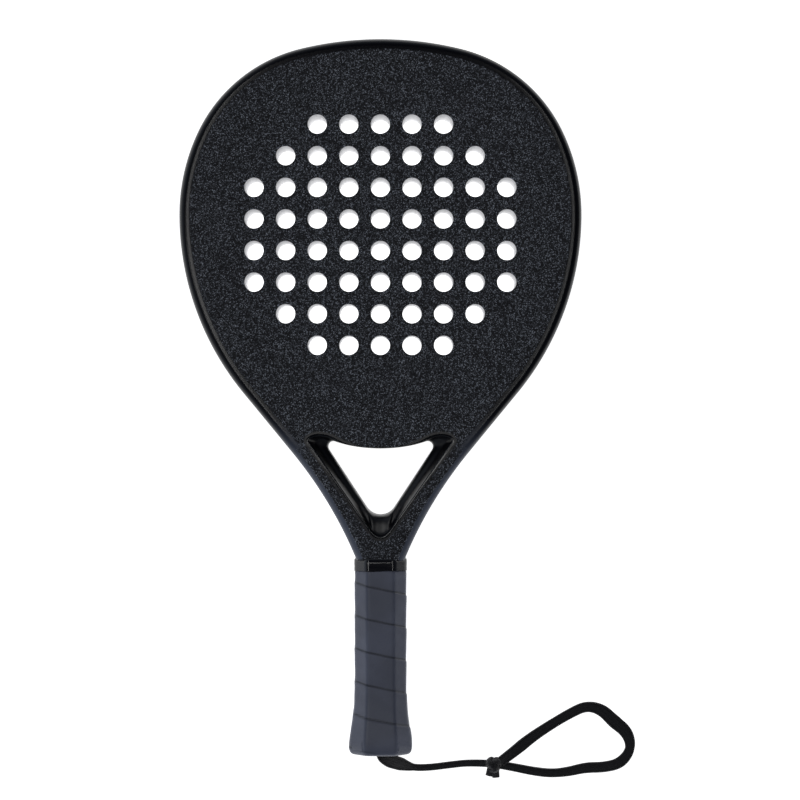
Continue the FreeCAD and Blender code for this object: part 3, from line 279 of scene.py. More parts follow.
class Outline:
    """Arc centres and joints of the frame's right half, worked out from its driving sizes."""

    def __init__(self, sizes, throat):
        s = sizes
        self.sizes, self.scoop = s, throat
        half, top = s.overall_width / 2, s.overall_length / 2
        self.top = top
        self.middle = s.overall_depth / 2
        self.neck_y = top - s.crown_to_neck
        widest = top - s.crown_to_widest
        self.crown = np.array([0.0, top - s.crown_radius])
        self.side = np.array([half - s.side_radius, widest])
        self.flank = np.array([half - s.flank_radius, widest])
        neck = np.array([s.neck_width / 2, self.neck_y])
        self.shoulder = max(meeting_points(
            self.crown, s.crown_radius - s.shoulder_radius,
            self.side, s.side_radius - s.shoulder_radius), key=lambda point: point[0])
        span, run = s.flank_radius + s.throat_radius, s.flank_straight
        reach = math.hypot(span, run)
        self.throat = max(meeting_points(self.flank, reach, neck, s.throat_radius),
                          key=lambda point: point[0])
        toward = unit(self.throat - self.flank)
        self.normal = toward * (span / reach) - right_of(toward) * (run / reach)
        self.downward = right_of(self.normal)
        self.throat_angle = angle_of(-self.normal) % (2 * math.pi)
        self.flank_angle = angle_of(self.normal)
        self.side_angle = angle_of(self.shoulder - self.side)
        self.crown_angle = angle_of(self.shoulder - self.crown)
        self.bridge_radius = half - s.bridge_tightness
        self.bridge_centre = np.array([0.0, top - s.crown_to_opening + self.bridge_radius])
        self.floor_radius = half + s.core_floor_ease
        self.floor_centre = np.array([0.0, top - s.crown_to_opening + s.bridge_height + self.floor_radius])
        self.opening_toe_y = top - s.crown_to_opening - throat.opening_height
        self.scoop_toe_y = self.opening_toe_y - throat.scoop_shelf
        drop = (s.overall_depth - s.neck_depth) / 2
        self.taper_y = top - s.crown_to_taper
        run = self.taper_y - self.neck_y
        self.taper_radius = (run * run + drop * drop) / (2 * drop)

    def half_depth(self, y):
        """Half the thickness at a height: full, then falling along one long arc towards the neck."""
        below = np.maximum(self.taper_y - y, 0.0)
        return self.middle - self.taper_radius + np.sqrt(self.taper_radius**2 - below**2)

    def upper_half(self, inset, counts=(62, 18, 40, 58)):
        """Flank, side, shoulder and crown arcs of the right half, set in from the edge."""
        s = self.sizes
        flank, side, shoulder, crown = counts
        return np.concatenate([
            arc(self.flank, s.flank_radius - inset, self.flank_angle, 0.0, flank),
            arc(self.side, s.side_radius - inset, 0.0, self.side_angle, side),
            arc(self.shoulder, s.shoulder_radius - inset, self.side_angle, self.crown_angle, shoulder),
            arc(self.crown, s.crown_radius - inset, self.crown_angle, math.pi / 2, crown)])

    def edge(self, inset):
        """Open line round the frame, set in from its edge: right side of the neck, crown, left side."""
        s = self.sizes
        radius = s.throat_radius + inset
        neck_angle = math.pi - math.asin((self.neck_y - self.throat[1]) / radius)
        throat = arc(self.throat, radius, neck_angle, self.throat_angle, 56)
        joint = self.throat - self.normal * radius
        flank_joint = self.flank + self.normal * (s.flank_radius - inset)
        right = np.concatenate([throat, line(joint, flank_joint, 24), self.upper_half(inset)])
        crown = np.array([[0.0, self.top - inset]])
        left = right[::-1] * (-1.0, 1.0)
        return np.concatenate([right, crown, left])

    def head_loop(self, inset, growth):
        """Closed line inside the hoop: the upper half set in, and the core's floor arc grown downward."""
        s = self.sizes
        corner = s.core_corner_radius + growth
        radius = self.floor_radius + growth
        joint = self.flank + self.normal * (s.flank_radius - inset)
        inner = joint - self.normal * corner - self.floor_centre
        along = inner @ self.downward
        step = -along + math.sqrt(along**2 - inner @ inner + (radius - corner) ** 2)
        centre = self.floor_centre + inner + self.downward * step
        floor_end = angle_of(centre - self.floor_centre)
        floor = arc(self.floor_centre, radius, -math.pi / 2, floor_end, 34)
        turn = arc(centre, corner, floor_end, angle_of(self.normal), 16)
        straight = line(centre + self.normal * corner, joint, 14)
        right = np.concatenate([floor, turn, straight, self.upper_half(inset)])
        crown = np.array([[0.0, self.top - inset]])
        return np.concatenate([right, crown, right[:0:-1] * (-1.0, 1.0)])

    def side_directions(self, lean):
        """Outward and upward directions of a throat side that is steeper than the flank by the lean."""
        rise = angle_of(-self.downward) + lean
        return np.array([math.sin(rise), -math.cos(rise)]), np.array([math.cos(rise), math.sin(rise)])

    def toe_half(self, toe_y, toe_radius, outward):
        """Right half of a toe arc, from the side down to the axis, and the point where it starts."""
        toe = np.array([0.0, toe_y + toe_radius])
        toe_end = toe + outward * toe_radius
        return toe_end, arc(toe, toe_radius, angle_of(outward), -math.pi / 2, 22)

    def scoop_loop(self):
        """Closed line where the scoop starts on the face: brow, tip, straight side and toe, mirrored."""
        t = self.scoop
        outward, upward = self.side_directions(t.scoop_lean)
        toe_end, toe = self.toe_half(self.scoop_toe_y, t.scoop_toe_radius, outward)
        brow = np.array(SCOOP_BROW) * MM
        side_top = toe_end + upward * ((brow[-1] - toe_end) @ upward - 5 * MM)
        curve = bspline(np.concatenate([brow, [side_top]]), 24)
        split = 24 * 3
        return self.mirrored_loop([resample(curve[:split + 1], 44), resample(curve[split:], 26),
                                   line(side_top, toe_end, 44), toe], self.scoop_toe_y)

    @staticmethod
    def mirrored_loop(stretches, toe_y):
        right = np.concatenate(stretches)
        return np.concatenate([right, [[0.0, toe_y]], right[:0:-1] * (-1.0, 1.0)])

    def opening_loop(self):
        """Closed line round the opening: half the top arc, a corner, a side, the toe, and back up."""
        t = self.scoop
        corner, top_radius = t.opening_corner_radius, self.bridge_radius
        outward, upward = self.side_directions(t.opening_lean)
        toe_end, toe = self.toe_half(self.opening_toe_y, t.opening_toe_radius, outward)
        inner = toe_end - outward * corner - self.bridge_centre
        along = inner @ upward
        reach = top_radius + corner
        step = -along - math.sqrt(along**2 - inner @ inner + reach**2)
        if step < 0:
            step = -along + math.sqrt(along**2 - inner @ inner + reach**2)
        turn = self.bridge_centre + inner + upward * step
        top_end = angle_of(turn - self.bridge_centre)
        return self.mirrored_loop([
            arc(self.bridge_centre, top_radius, -math.pi / 2, top_end, 44),
            arc(turn, corner, top_end + math.pi, angle_of(outward), 26),
            line(turn + outward * corner, toe_end, 44), toe], self.opening_toe_y)


def hole_centres(outline, face):
    """Centres of the holes, row by row, each row centred on the axis."""
    lowest = outline.top - face.crown_to_lowest_hole
    return np.array([
        (face.hole_pitch * (column - (count - 1) / 2), lowest + face.hole_pitch * row)
        for row, count in enumerate(HOLE_ROWS) for column in range(count)])


# ---------------------------------------------------------------- meshes
class Surface:
    """Corners and faces of one piece, gathered from grids and fills and welded into one mesh."""

    def __init__(self):
        self.points, self.faces, self.slots, self.extra, self.total = [], [], [], [], 0

    def add(self, points, faces, slot=0, extra=None):
        points = np.asarray(points, float)
        self.faces.extend((np.asarray(faces) + self.total).tolist())
        self.slots.extend([slot] * len(faces))
        self.points.append(points)
        self.extra.append(np.zeros_like(points) if extra is None else extra)
        self.total += len(points)

    def grid(self, points, wrap_rows=False, wrap_columns=False, slot=0, extra=None):
        """Four-sided faces between the neighbours of a rows x columns array of points."""
        rows, columns = points.shape[:2]
        number = np.arange(rows * columns).reshape(rows, columns)
        if wrap_rows:
            number = np.concatenate([number, number[:1]])
        if wrap_columns:
            number = np.concatenate([number, number[:, :1]], 1)
        faces = np.stack([number[:-1, :-1], number[1:, :-1], number[1:, 1:], number[:-1, 1:]], -1)
        flat = None if extra is None else extra.reshape(-1, 3)
        self.add(points.reshape(-1, 3), faces.reshape(-1, 4), slot, flat)

    def cap(self, loop, slot=0):
        """Triangles from the middle of a closed line to each of its runs."""
        count = len(loop)
        ring = np.arange(count)
        faces = np.stack([ring, (ring + 1) % count, np.full(count, count)], 1)
        self.add(np.concatenate([loop, loop.mean(0, keepdims=True)]), faces, slot)

    def build(self, name, materials, sharp=40.0, attribute=None, weld=0.002 * MM):
        """Weld, point every face outward, shade smooth with sharp creases, and ride on the body."""
        mesh = bpy.data.meshes.new(name)
        mesh.from_pydata(np.concatenate(self.points), [], self.faces)
        mesh.polygons.foreach_set("material_index", np.array(self.slots, np.int32))
        if attribute:
            layer = mesh.attributes.new(attribute, "FLOAT_VECTOR", "POINT")
            layer.data.foreach_set("vector", np.concatenate(self.extra).ravel().astype(np.float32))
        shape = bmesh.new()
        shape.from_mesh(mesh)
        bmesh.ops.remove_doubles(shape, verts=shape.verts, dist=weld)
        bmesh.ops.dissolve_degenerate(shape, edges=shape.edges, dist=weld / 4)
        bmesh.ops.recalc_face_normals(shape, faces=shape.faces)
        shape.to_mesh(mesh)
        shape.free()
        for material in materials:
            mesh.materials.append(material)
        mesh.polygons.foreach_set("use_smooth", np.ones(len(mesh.polygons), bool))
        mesh.set_sharp_from_angle(angle=math.radians(sharp))
        piece = bpy.data.objects.new(name, mesh)
        bpy.context.scene.collection.objects.link(piece)
        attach(piece, BODY)
        return piece


def inside(points, loop):
    """Even-odd rule: does a ray along +X from each point cross the closed line an odd number of times?"""
    a, b = loop, np.roll(loop, -1, axis=0)
    x, y = points[:, :1], points[:, 1:2]
    straddles = (a[:, 1] > y) != (b[:, 1] > y)
    rise = np.where(a[:, 1] == b[:, 1], 1.0, b[:, 1] - a[:, 1])
    crossing = a[:, 0] + (y - a[:, 1]) * (b[:, 0] - a[:, 0]) / rise
    return (straddles & (x < crossing)).sum(1) % 2 == 1


def fill(loops, inner_points=None):
    """Triangles that fill the first closed line and leave the others open; returns points and triangles."""
    points, edges, start = [], [], 0
    for loop in loops:
        ring = np.arange(len(loop)) + start
        edges.append(np.stack([ring, np.roll(ring, -1)], 1))
        points.append(loop)
        start += len(loop)
    if inner_points is not None:
        points.append(inner_points)
    flat = np.concatenate(points) / MM
    found = delaunay_2d_cdt([Vector(p) for p in flat], np.concatenate(edges).tolist(), [], 0, 1e-6)
    corners = np.array([tuple(p) for p in found[0]]) * MM
    triangles = np.array(found[2])
    centres = corners[triangles].mean(1)
    keep = inside(centres, loops[0])
    for loop in loops[1:]:
        keep &= ~inside(centres, loop)
    return corners, triangles[keep]


def at_height(points, z):
    return np.concatenate([points, np.broadcast_to(np.asarray(z, float), (len(points),))[:, None]], 1)


# ---------------------------------------------------------------- materials
def add_node(tree, kind, inputs=None, **settings):
    """Add one shader node with its settings; an input is a value or the socket that feeds it."""
    node = tree.nodes.new("ShaderNode" + kind)
    for name, value in settings.items():
        setattr(node, name, value)
    for name, value in (inputs or {}).items():
        if isinstance(value, bpy.types.NodeSocket):
            tree.links.new(value, node.inputs[name])
        else:
            node.inputs[name].default_value = value
    return node


def new_material(name, colour, roughness, **constants):
    """A Principled material with its constant sockets set; returns the material, its tree and shader."""
    material = bpy.data.materials.new(name)
    material.use_nodes = True
    tree = material.node_tree
    shader = tree.nodes["Principled BSDF"]
    shader.inputs["Base Color"].default_value = (*colour, 1.0)
    shader.inputs["Roughness"].default_value = roughness
    for socket, value in constants.items():
        shader.inputs[socket.replace("_", " ")].default_value = value
    return material, tree, shader


def noise(tree, place, per_metre, detail=2.0, roughness=0.5):
    return add_node(tree, "TexNoise", {
        "Vector": place, "Scale": per_metre, "Detail": detail, "Roughness": roughness}).outputs["Fac"]


def map_range(tree, value, low, high, to_low=0.0, to_high=1.0):
    return add_node(tree, "MapRange", {
        "Value": value, "From Min": low, "From Max": high, "To Min": to_low, "To Max": to_high},
        interpolation_type="SMOOTHSTEP").outputs["Result"]


def math_node(tree, operation, first, second):
    node = add_node(tree, "Math", operation=operation)
    for socket, value in zip(node.inputs, (first, second)):
        if isinstance(value, bpy.types.NodeSocket):
            tree.links.new(value, socket)
        else:
            socket.default_value = value
    return node.outputs["Value"]


def mix_colour(tree, factor, first, second):
    node = add_node(tree, "Mix", data_type="RGBA")
    sockets = (node.inputs["Factor"], node.inputs[6], node.inputs[7])
    for socket, value in zip(sockets, (factor, first, second)):
        if isinstance(value, bpy.types.NodeSocket):
            tree.links.new(value, socket)
        else:
            socket.default_value = value
    return node.outputs[2]


def object_place(tree):
    return add_node(tree, "TexCoord").outputs["Object"]


def lacquer_satin(colours):
    """Two-pack epoxy lacquer over carbon laminate, sprayed and left smooth; polished where the "finish"
    attribute's Y is 1, along the scoop's edge."""
    material, tree, shader = new_material("lacquer_satin", colours.lacquer, 0.34, Specular_IOR_Level=0.5)
    place = object_place(tree)
    # Orange peel of the sprayed coat, about 3 mm from swell to swell.
    swell = noise(tree, place, 320.0, 1.0)
    bump = add_node(tree, "Bump", {"Height": swell, "Strength": 0.06, "Distance": 0.0004})
    tree.links.new(bump.outputs["Normal"], shader.inputs["Normal"])
    polish = add_node(tree, "SeparateXYZ", {
        "Vector": add_node(tree, "Attribute", attribute_name="finish").outputs["Vector"]}).outputs["Y"]
    tree.links.new(map_range(tree, polish, 0.0, 1.0, 0.36, 0.09), shader.inputs["Roughness"])
    return material


def lacquer_sanded(colours):
    """The same lacquer with quartz grit sprayed into it for spin: rough, dark, and speckled with lit grains.

    The "finish" attribute's Z says where there is no grit: where the rim rolls over.  Its X is 1 along the
    arms, where the coat is satin and its grit-free rounding is painted a lighter slate as a painted sheen.
    """
    material, tree, shader = new_material("lacquer_sanded", colours.lacquer, 0.6, Specular_IOR_Level=0.3)
    place = object_place(tree)
    finish = add_node(tree, "SeparateXYZ", {
        "Vector": add_node(tree, "Attribute", attribute_name="finish").outputs["Vector"]})
    satin, free = finish.outputs["X"], finish.outputs["Z"]
    ragged = math_node(tree, "MULTIPLY", noise(tree, place, 500.0, 2.0), 0.5)
    flat = map_range(tree, math_node(tree, "ADD", free, ragged), 0.35, 0.75, 1.0, 0.0)
    # Real grit is 0.3 mm; it is drawn at about 0.5 mm, the size at which the clumped grains catch light.
    grain = add_node(tree, "TexVoronoi", {"Vector": place, "Scale": 2100.0})
    fine = noise(tree, place, 1100.0, 3.0, 0.7)
    pick = add_node(tree, "SeparateColor", {"Color": grain.outputs["Color"]}).outputs["Red"]
    height = math_node(tree, "MULTIPLY", math_node(tree, "ADD", grain.outputs["Distance"], fine), flat)
    bump = add_node(tree, "Bump", {"Height": height, "Strength": 0.5, "Distance": 0.0004})
    tree.links.new(bump.outputs["Normal"], shader.inputs["Normal"])
    # Painted glints: a few grains, picked at random, are painted bright; partly the grit's own lighter tone,
    # partly painted glints.
    speck = math_node(tree, "POWER", pick, 7.0)
    dark = (*colours.lacquer, 1.0)
    grit = (*colours.lacquer_sand, 1.0)
    # Painted sheen: along the arms the grit-free rounding is painted a lighter slate.
    smooth = mix_colour(tree, satin, dark, (*colours.lacquer_smooth, 1.0))
    sanded = mix_colour(tree, speck, dark, grit)
    tree.links.new(mix_colour(tree, flat, smooth, sanded), shader.inputs["Base Color"])
    smoothest = map_range(tree, satin, 0.0, 1.0, 0.22, 0.46)
    rough = add_node(tree, "MapRange", {"Value": flat, "To Min": smoothest, "To Max": 0.6}).outputs["Result"]
    tree.links.new(rough, shader.inputs["Roughness"])
    return material


def drilled_eva_foam(colours):
    """EVA foam, drilled: white, matt, with fine closed cells.

    The faint glow stands for light that the foam passes on from hole to hole.
    """
    material, tree, shader = new_material("drilled_eva_foam", colours.foam, 0.85, Emission_Strength=0.07)
    shader.inputs["Emission Color"].default_value = (*colours.foam, 1.0)
    place = object_place(tree)
    cells = add_node(tree, "TexVoronoi", {"Vector": place, "Scale": 1400.0})
    bump = add_node(tree, "Bump", {"Height": cells.outputs["Distance"], "Strength": 0.25, "Distance": 0.0002})
    tree.links.new(bump.outputs["Normal"], shader.inputs["Normal"])
    shade = noise(tree, place, 220.0, 2.0)
    light = (*colours.foam, 1.0)
    dull = (*(c * 0.93 for c in colours.foam), 1.0)
    colour = mix_colour(tree, map_range(tree, shade, 0.4, 0.7), light, dull)
    tree.links.new(colour, shader.inputs["Base Color"])
    return material


def polyurethane_wrap(colours):
    """Polyurethane-coated felt strip: slate, matt and softly grained; its seam grooves are painted darker, as
    painted shade.
    """
    material, tree, shader = new_material(
        "polyurethane_wrap", colours.grip, 0.5, Specular_IOR_Level=0.35)
    place = object_place(tree)
    seam = add_node(tree, "SeparateXYZ", {
        "Vector": add_node(tree, "Attribute", attribute_name="wrap").outputs["Vector"]}).outputs["X"]
    grain = add_node(tree, "TexVoronoi", {"Vector": place, "Scale": 1300.0}, feature="SMOOTH_F1")
    soft = noise(tree, place, 260.0, 3.0)
    height = math_node(tree, "MULTIPLY_ADD", grain.outputs["Distance"], 0.6)
    tree.links.new(soft, height.node.inputs[2])
    bump = add_node(tree, "Bump", {"Height": height, "Strength": 0.14, "Distance": 0.0003})
    tree.links.new(bump.outputs["Normal"], shader.inputs["Normal"])
    worn = noise(tree, place, 42.0, 3.0)
    base = (*colours.grip, 1.0)
    pale = (*(c * 1.28 for c in colours.grip), 1.0)
    # Painted shade: along the seam grooves the wrap is painted far darker.
    deep = (*(c * 0.3 for c in colours.grip), 1.0)
    body = mix_colour(tree, map_range(tree, worn, 0.38, 0.7), base, pale)
    tree.links.new(mix_colour(tree, seam, body, deep), shader.inputs["Base Color"])
    tree.links.new(map_range(tree, worn, 0.3, 0.7, 0.38, 0.5), shader.inputs["Roughness"])
    return material


def stretched_pvc_tape(colours):
    """Stretched PVC tape: black and glossy, faintly rippled round the handle."""
    material, tree, shader = new_material("stretched_pvc_tape", colours.tape, 0.16, Specular_IOR_Level=0.6)
    place = object_place(tree)
    stretched = add_node(tree, "Mapping", {"Vector": place, "Scale": (60.0, 300.0, 60.0)}).outputs["Vector"]
    ripple = noise(tree, stretched, 1.0, 2.0)
    bump = add_node(tree, "Bump", {"Height": ripple, "Strength": 0.05, "Distance": 0.0001})
    tree.links.new(bump.outputs["Normal"], shader.inputs["Normal"])
    tree.links.new(map_range(tree, ripple, 0.3, 0.7, 0.1, 0.16), shader.inputs["Roughness"])
    return material


def braided_polyester(colours):
    """Braided polyester, dyed black: dull crossing yarns about 1 mm apart, with a little sheen."""
    material, tree, shader = new_material(
        "braided_polyester", colours.cord, 0.6, Specular_IOR_Level=0.4, Sheen_Weight=0.1, Sheen_Roughness=0.5)
    where = add_node(tree, "SeparateXYZ", {
        "Vector": add_node(tree, "Attribute", attribute_name="braid").outputs["Vector"]})
    along, across = where.outputs["X"], where.outputs["Y"]
    yarns = []
    for sign in (1.0, -1.0):
        slant = math_node(tree, "MULTIPLY_ADD", across, sign * 1.1)
        tree.links.new(along, slant.node.inputs[2])
        turns = math_node(tree, "MULTIPLY", slant, 2 * math.pi / 1.1)
        yarns.append(math_node(tree, "SINE", turns, 0.0))
    ribs = math_node(tree, "SINE", math_node(tree, "MULTIPLY", across, 2 * math.pi / 1.25), 0.0)
    height = math_node(tree, "ADD", math_node(tree, "MAXIMUM", yarns[0], yarns[1]), ribs)
    bump = add_node(tree, "Bump", {"Height": height, "Strength": 0.55, "Distance": 0.00025})
    tree.links.new(bump.outputs["Normal"], shader.inputs["Normal"])
    # Painted shade: where the braid is low, between the yarns, it is painted darker.
    base = (*colours.cord, 1.0)
    deep = (*(c * 0.45 for c in colours.cord), 1.0)
    colour = mix_colour(tree, map_range(tree, height, 0.1, 0.9), deep, base)
    tree.links.new(colour, shader.inputs["Base Color"])
    return material


def moulded_plastic(colours, name):
    """Injection-moulded polyamide: black, satin, with a fine spark-eroded texture."""
    material, tree, shader = new_material(name, colours.plastic, 0.5)
    fine = noise(tree, object_place(tree), 1800.0, 2.0)
    bump = add_node(tree, "Bump", {"Height": fine, "Strength": 0.15, "Distance": 0.0002})
    tree.links.new(bump.outputs["Normal"], shader.inputs["Normal"])
    return material


def galvanised_wire(colours):
    """Galvanised steel wire: bright, a little brushed along its length."""
    material, tree, shader = new_material("galvanised_wire", colours.steel, 0.32, Metallic=1.0)
    scratch = noise(tree, object_place(tree), 2500.0, 2.0)
    tree.links.new(map_range(tree, scratch, 0.3, 0.7, 0.24, 0.42), shader.inputs["Roughness"])
    return material


def expanded_foam(colours):
    """Expanding foam inside the tube: off-white and dull."""
    material, tree, shader = new_material("expanded_foam", colours.foam, 0.9)
    cells = noise(tree, object_place(tree), 700.0, 3.0)
    bump = add_node(tree, "Bump", {"Height": cells, "Strength": 0.4, "Distance": 0.0004})
    tree.links.new(bump.outputs["Normal"], shader.inputs["Normal"])
    return material


def finish_of(maker, colours, *more):
    """The named finish, made once and shared."""
    name = more[0] if more else maker.__name__
    return bpy.data.materials.get(name) or maker(colours, *more)


# ---------------------------------------------------------------- operators
def settings():
    return bpy.context.scene.racket


def racket_outline():
    return Outline(settings().frame, settings().throat)


class RACKET_OT_camera(bpy.types.Operator):
    """Camera straight above the racket, a little to the right of its axis"""
    bl_idname = "racket.camera"
    bl_label = "Camera"

    def execute(self, context):
        above_face, frame_width, sensor = 1.58, 0.5059, 0.036
        height = above_face + settings().frame.overall_depth
        data = bpy.data.cameras.new("camera")
        data.sensor_width = sensor / MM
        data.lens = sensor / MM * above_face / frame_width
        data.clip_start, data.clip_end = 0.1, 20.0
        camera = bpy.data.objects.new("camera", data)
        camera.location = (12.4 * MM, -1.6 * MM, height)
        context.scene.collection.objects.link(camera)
        context.scene.camera = camera
        return {"FINISHED"}


def route_line(name, route):
    """The smooth line of a route: one open NURBS spline with the route's points as its controls."""
    curve = bpy.data.curves.new(name, "CURVE")
    curve.dimensions = "3D"
    spline = curve.splines.new("NURBS")
    spline.points.add(len(route) - 1)
    for point, (x, y, z, _) in zip(spline.points, route):
        point.co = (x * MM, y * MM, z * MM, 1.0)
    spline.order_u = 3
    spline.use_endpoint_u = True
    spline.resolution_u = 24
    holder = bpy.data.objects.new(name, curve)
    mesh = bpy.data.meshes.new_from_object(holder)
    points = np.empty(len(mesh.vertices) * 3)
    mesh.vertices.foreach_get("co", points)
    bpy.data.objects.remove(holder)
    bpy.data.meshes.remove(mesh)
    bpy.data.curves.remove(curve)
    return points.reshape(-1, 3)


def strap_mesh(name, route, size):
    """A flat cord along its route's line.

    At each point the section is the superellipse (a cos, b sin) to the power 0.55, a level half width and b
    half thickness, raised by five lengthwise ribs and by crossing yarns.
    """
    centre = route_line(name + "_line", route)
    steps = np.linalg.norm(np.diff(centre, axis=0), axis=1)
    distance = np.concatenate([[0.0], np.cumsum(steps)])
    forward = np.gradient(centre, axis=0)
    forward /= np.linalg.norm(forward, axis=1, keepdims=True)
    across = np.cross(forward, (0.0, 0.0, 1.0))
    across /= np.linalg.norm(across, axis=1, keepdims=True)
    through = np.cross(across, forward)
    controls = np.array([point[3] for point in route]) * MM
    wide = np.interp(np.linspace(0, len(route) - 1, len(centre)), np.arange(len(route)), controls)
    angle = np.linspace(0, 2 * math.pi, 48, endpoint=False)
    u = np.sign(np.cos(angle)) * np.abs(np.cos(angle)) ** 0.55
    v = np.sign(np.sin(angle)) * np.abs(np.sin(angle)) ** 0.75
    side = wide[:, None] / 2 * u
    thick = size.cord_thickness / 2 * (size.cord_width / wide[:, None]) ** 0.5
    ribs = 0.22 * MM * np.cos(u * 5 * math.pi) * (1 - u**6)
    yarns = 0.05 * MM * np.sin((distance[:, None] / MM + 1.1 * side / MM) * 2 * math.pi / 1.1)
    lift = thick * v + np.sign(v) * np.minimum(np.abs(v) * 3, 1) * (ribs + yarns)
    points = centre[:, None] + across[:, None] * side[..., None] + through[:, None] * lift[..., None]
    points[..., 2] = np.maximum(points[..., 2], 0.02 * MM)
    extra = np.stack(np.broadcast_arrays(distance[:, None] / MM, side / MM, 0 * side), -1)
    surface = Surface()
    surface.grid(points, wrap_columns=True, extra=extra)
    surface.cap(points[0])
    surface.cap(points[-1])
    piece = surface.build(name, [finish_of(braided_polyester, settings().colours)], attribute="braid")
    return piece, centre, distance[-1]


def tube_points(centre, radius_wide, radius_thin, count):
    """Elliptical section carried along a closed line, its wide side turned towards the line's middle."""
    forward = np.roll(centre, -1, axis=0) - np.roll(centre, 1, axis=0)
    forward /= np.linalg.norm(forward, axis=1, keepdims=True)
    outward = centre - centre.mean(0)
    thin = outward - forward * np.sum(outward * forward, 1, keepdims=True)
    thin /= np.linalg.norm(thin, axis=1, keepdims=True)
    wide = np.cross(forward, thin)
    angle = np.linspace(0, 2 * math.pi, count, endpoint=False)
    return (centre[:, None] + wide[:, None] * (radius_wide * np.cos(angle))[None, :, None]
            + thin[:, None] * (radius_thin * np.sin(angle))[None, :, None])


def wrist_knot():
    """The knot at the head of the loop: a trefoil line x = sin t + 2 sin 2t, y = cos t - 2 cos 2t,
    z = -sin 3t, scaled into the knot's box, with a flattened tube along it and two short cut tails."""
    low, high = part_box("wrist_cord_knot")
    middle = np.array((low + high) / 2)
    half = np.array((high - low) / 2)
    t = np.linspace(0, 2 * math.pi, 220, endpoint=False)
    line_points = np.stack([np.sin(t) + 2 * np.sin(2 * t), np.cos(t) - 2 * np.cos(2 * t), -np.sin(3 * t)], 1)
    wide, thin = 2.9 * MM, 1.7 * MM
    reach = (half - np.array([2.2, 2.6, 2.3]) * MM) / np.array([2.6, 2.6, 1.0])
    centre = middle + line_points * reach
    surface = Surface()
    points = tube_points(centre, wide, thin, 24)
    steps = np.linalg.norm(np.roll(centre, -1, axis=0) - centre, axis=1)
    distance = np.cumsum(steps)[:, None] / MM
    around = np.linspace(-1, 1, 24) * wide / MM
    extra = np.stack(np.broadcast_arrays(distance, around, 0 * distance), -1)
    surface.grid(points, wrap_rows=True, wrap_columns=True, extra=extra)
    for start, finish in (((-1.6, -1.0, 0.4), (-3.0, -7.4, -1.4)), ((0.8, -1.0, 0.8), (1.4, -8.4, -1.0))):
        tail = middle + (np.array(start) + (np.array(finish) - start) * np.linspace(0, 1, 12)[:, None]) * MM
        ahead = unit(tail[-1] - tail[0])
        side = unit(np.cross(ahead, (0, 0, 1.0)))
        up = np.cross(side, ahead)
        angle = np.linspace(0, 2 * math.pi, 20, endpoint=False)
        ring = side * (2.4 * MM * np.cos(angle))[:, None] + up * (1.1 * MM * np.sin(angle))[:, None]
        points = tail[:, None] + ring[None]
        extra = np.stack(np.broadcast_arrays(
            np.linspace(0, 4, 12)[:, None], 2.4 * np.cos(angle), np.zeros((12, 1))), -1)
        surface.grid(points, wrap_columns=True, extra=extra)
        surface.cap(points[0])
        surface.cap(points[-1])
    return surface.build("wrist_knot", [finish_of(braided_polyester, settings().colours)],
                         attribute="braid", sharp=60)


class RACKET_OT_cord(bpy.types.Operator):
    """Flat braided wrist cord: leg, knot and loop"""
    bl_idname = "racket.cord"
    bl_label = "Wrist cord"

    def execute(self, context):
        size = settings().handle
        knot = wrist_knot()
        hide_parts("wrist_cord_knot")
        leg, line_points, run = strap_mesh("wrist_leg", LEG_ROUTE, size)
        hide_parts("wrist_cord_leg")
        loop, line_points, run = strap_mesh("wrist_loop", LOOP_ROUTE, size)
        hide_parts("wrist_cord_loop")
        return {"FINISHED"}


def rim_grid(outline):
    """Rim of the frame: a narrow shoulder that falls 0.07 mm, then the section (inset, depth) =
    (0.87 w (1 - sin a), r - r cos a), a from 0 to 90 degrees, carried round the outline, front and rear.

    The width w is the radius r round the head and grows along the arms.  The first value of each point's
    extra vector rises to 1 along the arms, where the coat is satin and the rounding is painted lighter as a
    painted sheen.  The third says how free of grit it is: the whole rounding round the head, and only the
    rounding's outer part along the arms.
    """
    radius = outline.sizes.edge_radius
    edge = outline.edge(0.0)
    inward = (outline.edge(MM) - edge) / MM
    width = radius + outline.scoop.arm_softness * smooth_step(10 * MM, 80 * MM, -edge[:, 1])
    bend = np.radians(np.linspace(0.0, 90.0, 13))
    shares = np.concatenate([[1.6 * MM / radius, 0.3 * MM / radius], -0.13 - 0.87 * np.sin(bend)])
    drops = np.concatenate([[0.0, 0.0], radius - radius * np.cos(bend)])
    drops[2:] += 0.07 * MM * (1 - np.sin(bend)) ** 2
    front, rear = [], []
    for share, drop in zip(shares, drops):
        place = edge + inward * (width * (1 + share))[:, None]
        depth = outline.half_depth(place[:, 1])
        front.append(at_height(place, outline.middle + depth - drop))
        rear.append(at_height(place, outline.middle - depth + drop))
    on_arm = smooth_step(10 * MM, 50 * MM, -edge[:, 1])[:, None]
    round_head = np.concatenate([[0.0, 0.6], np.ones(13)])
    along_arms = np.concatenate([[0.0, 0.0], smooth_step(0.35, 0.75, np.sin(bend))])
    free = round_head * (1 - on_arm) + along_arms * on_arm
    free = np.concatenate([free, free[:, ::-1]], 1)
    points = np.stack(front + rear[::-1], 1)
    # Along the arms the rounding is made less glossy and painted lighter, as a painted sheen.
    satin = np.broadcast_to(on_arm, free.shape)
    return points, np.stack([satin, 0 * free, free], -1)


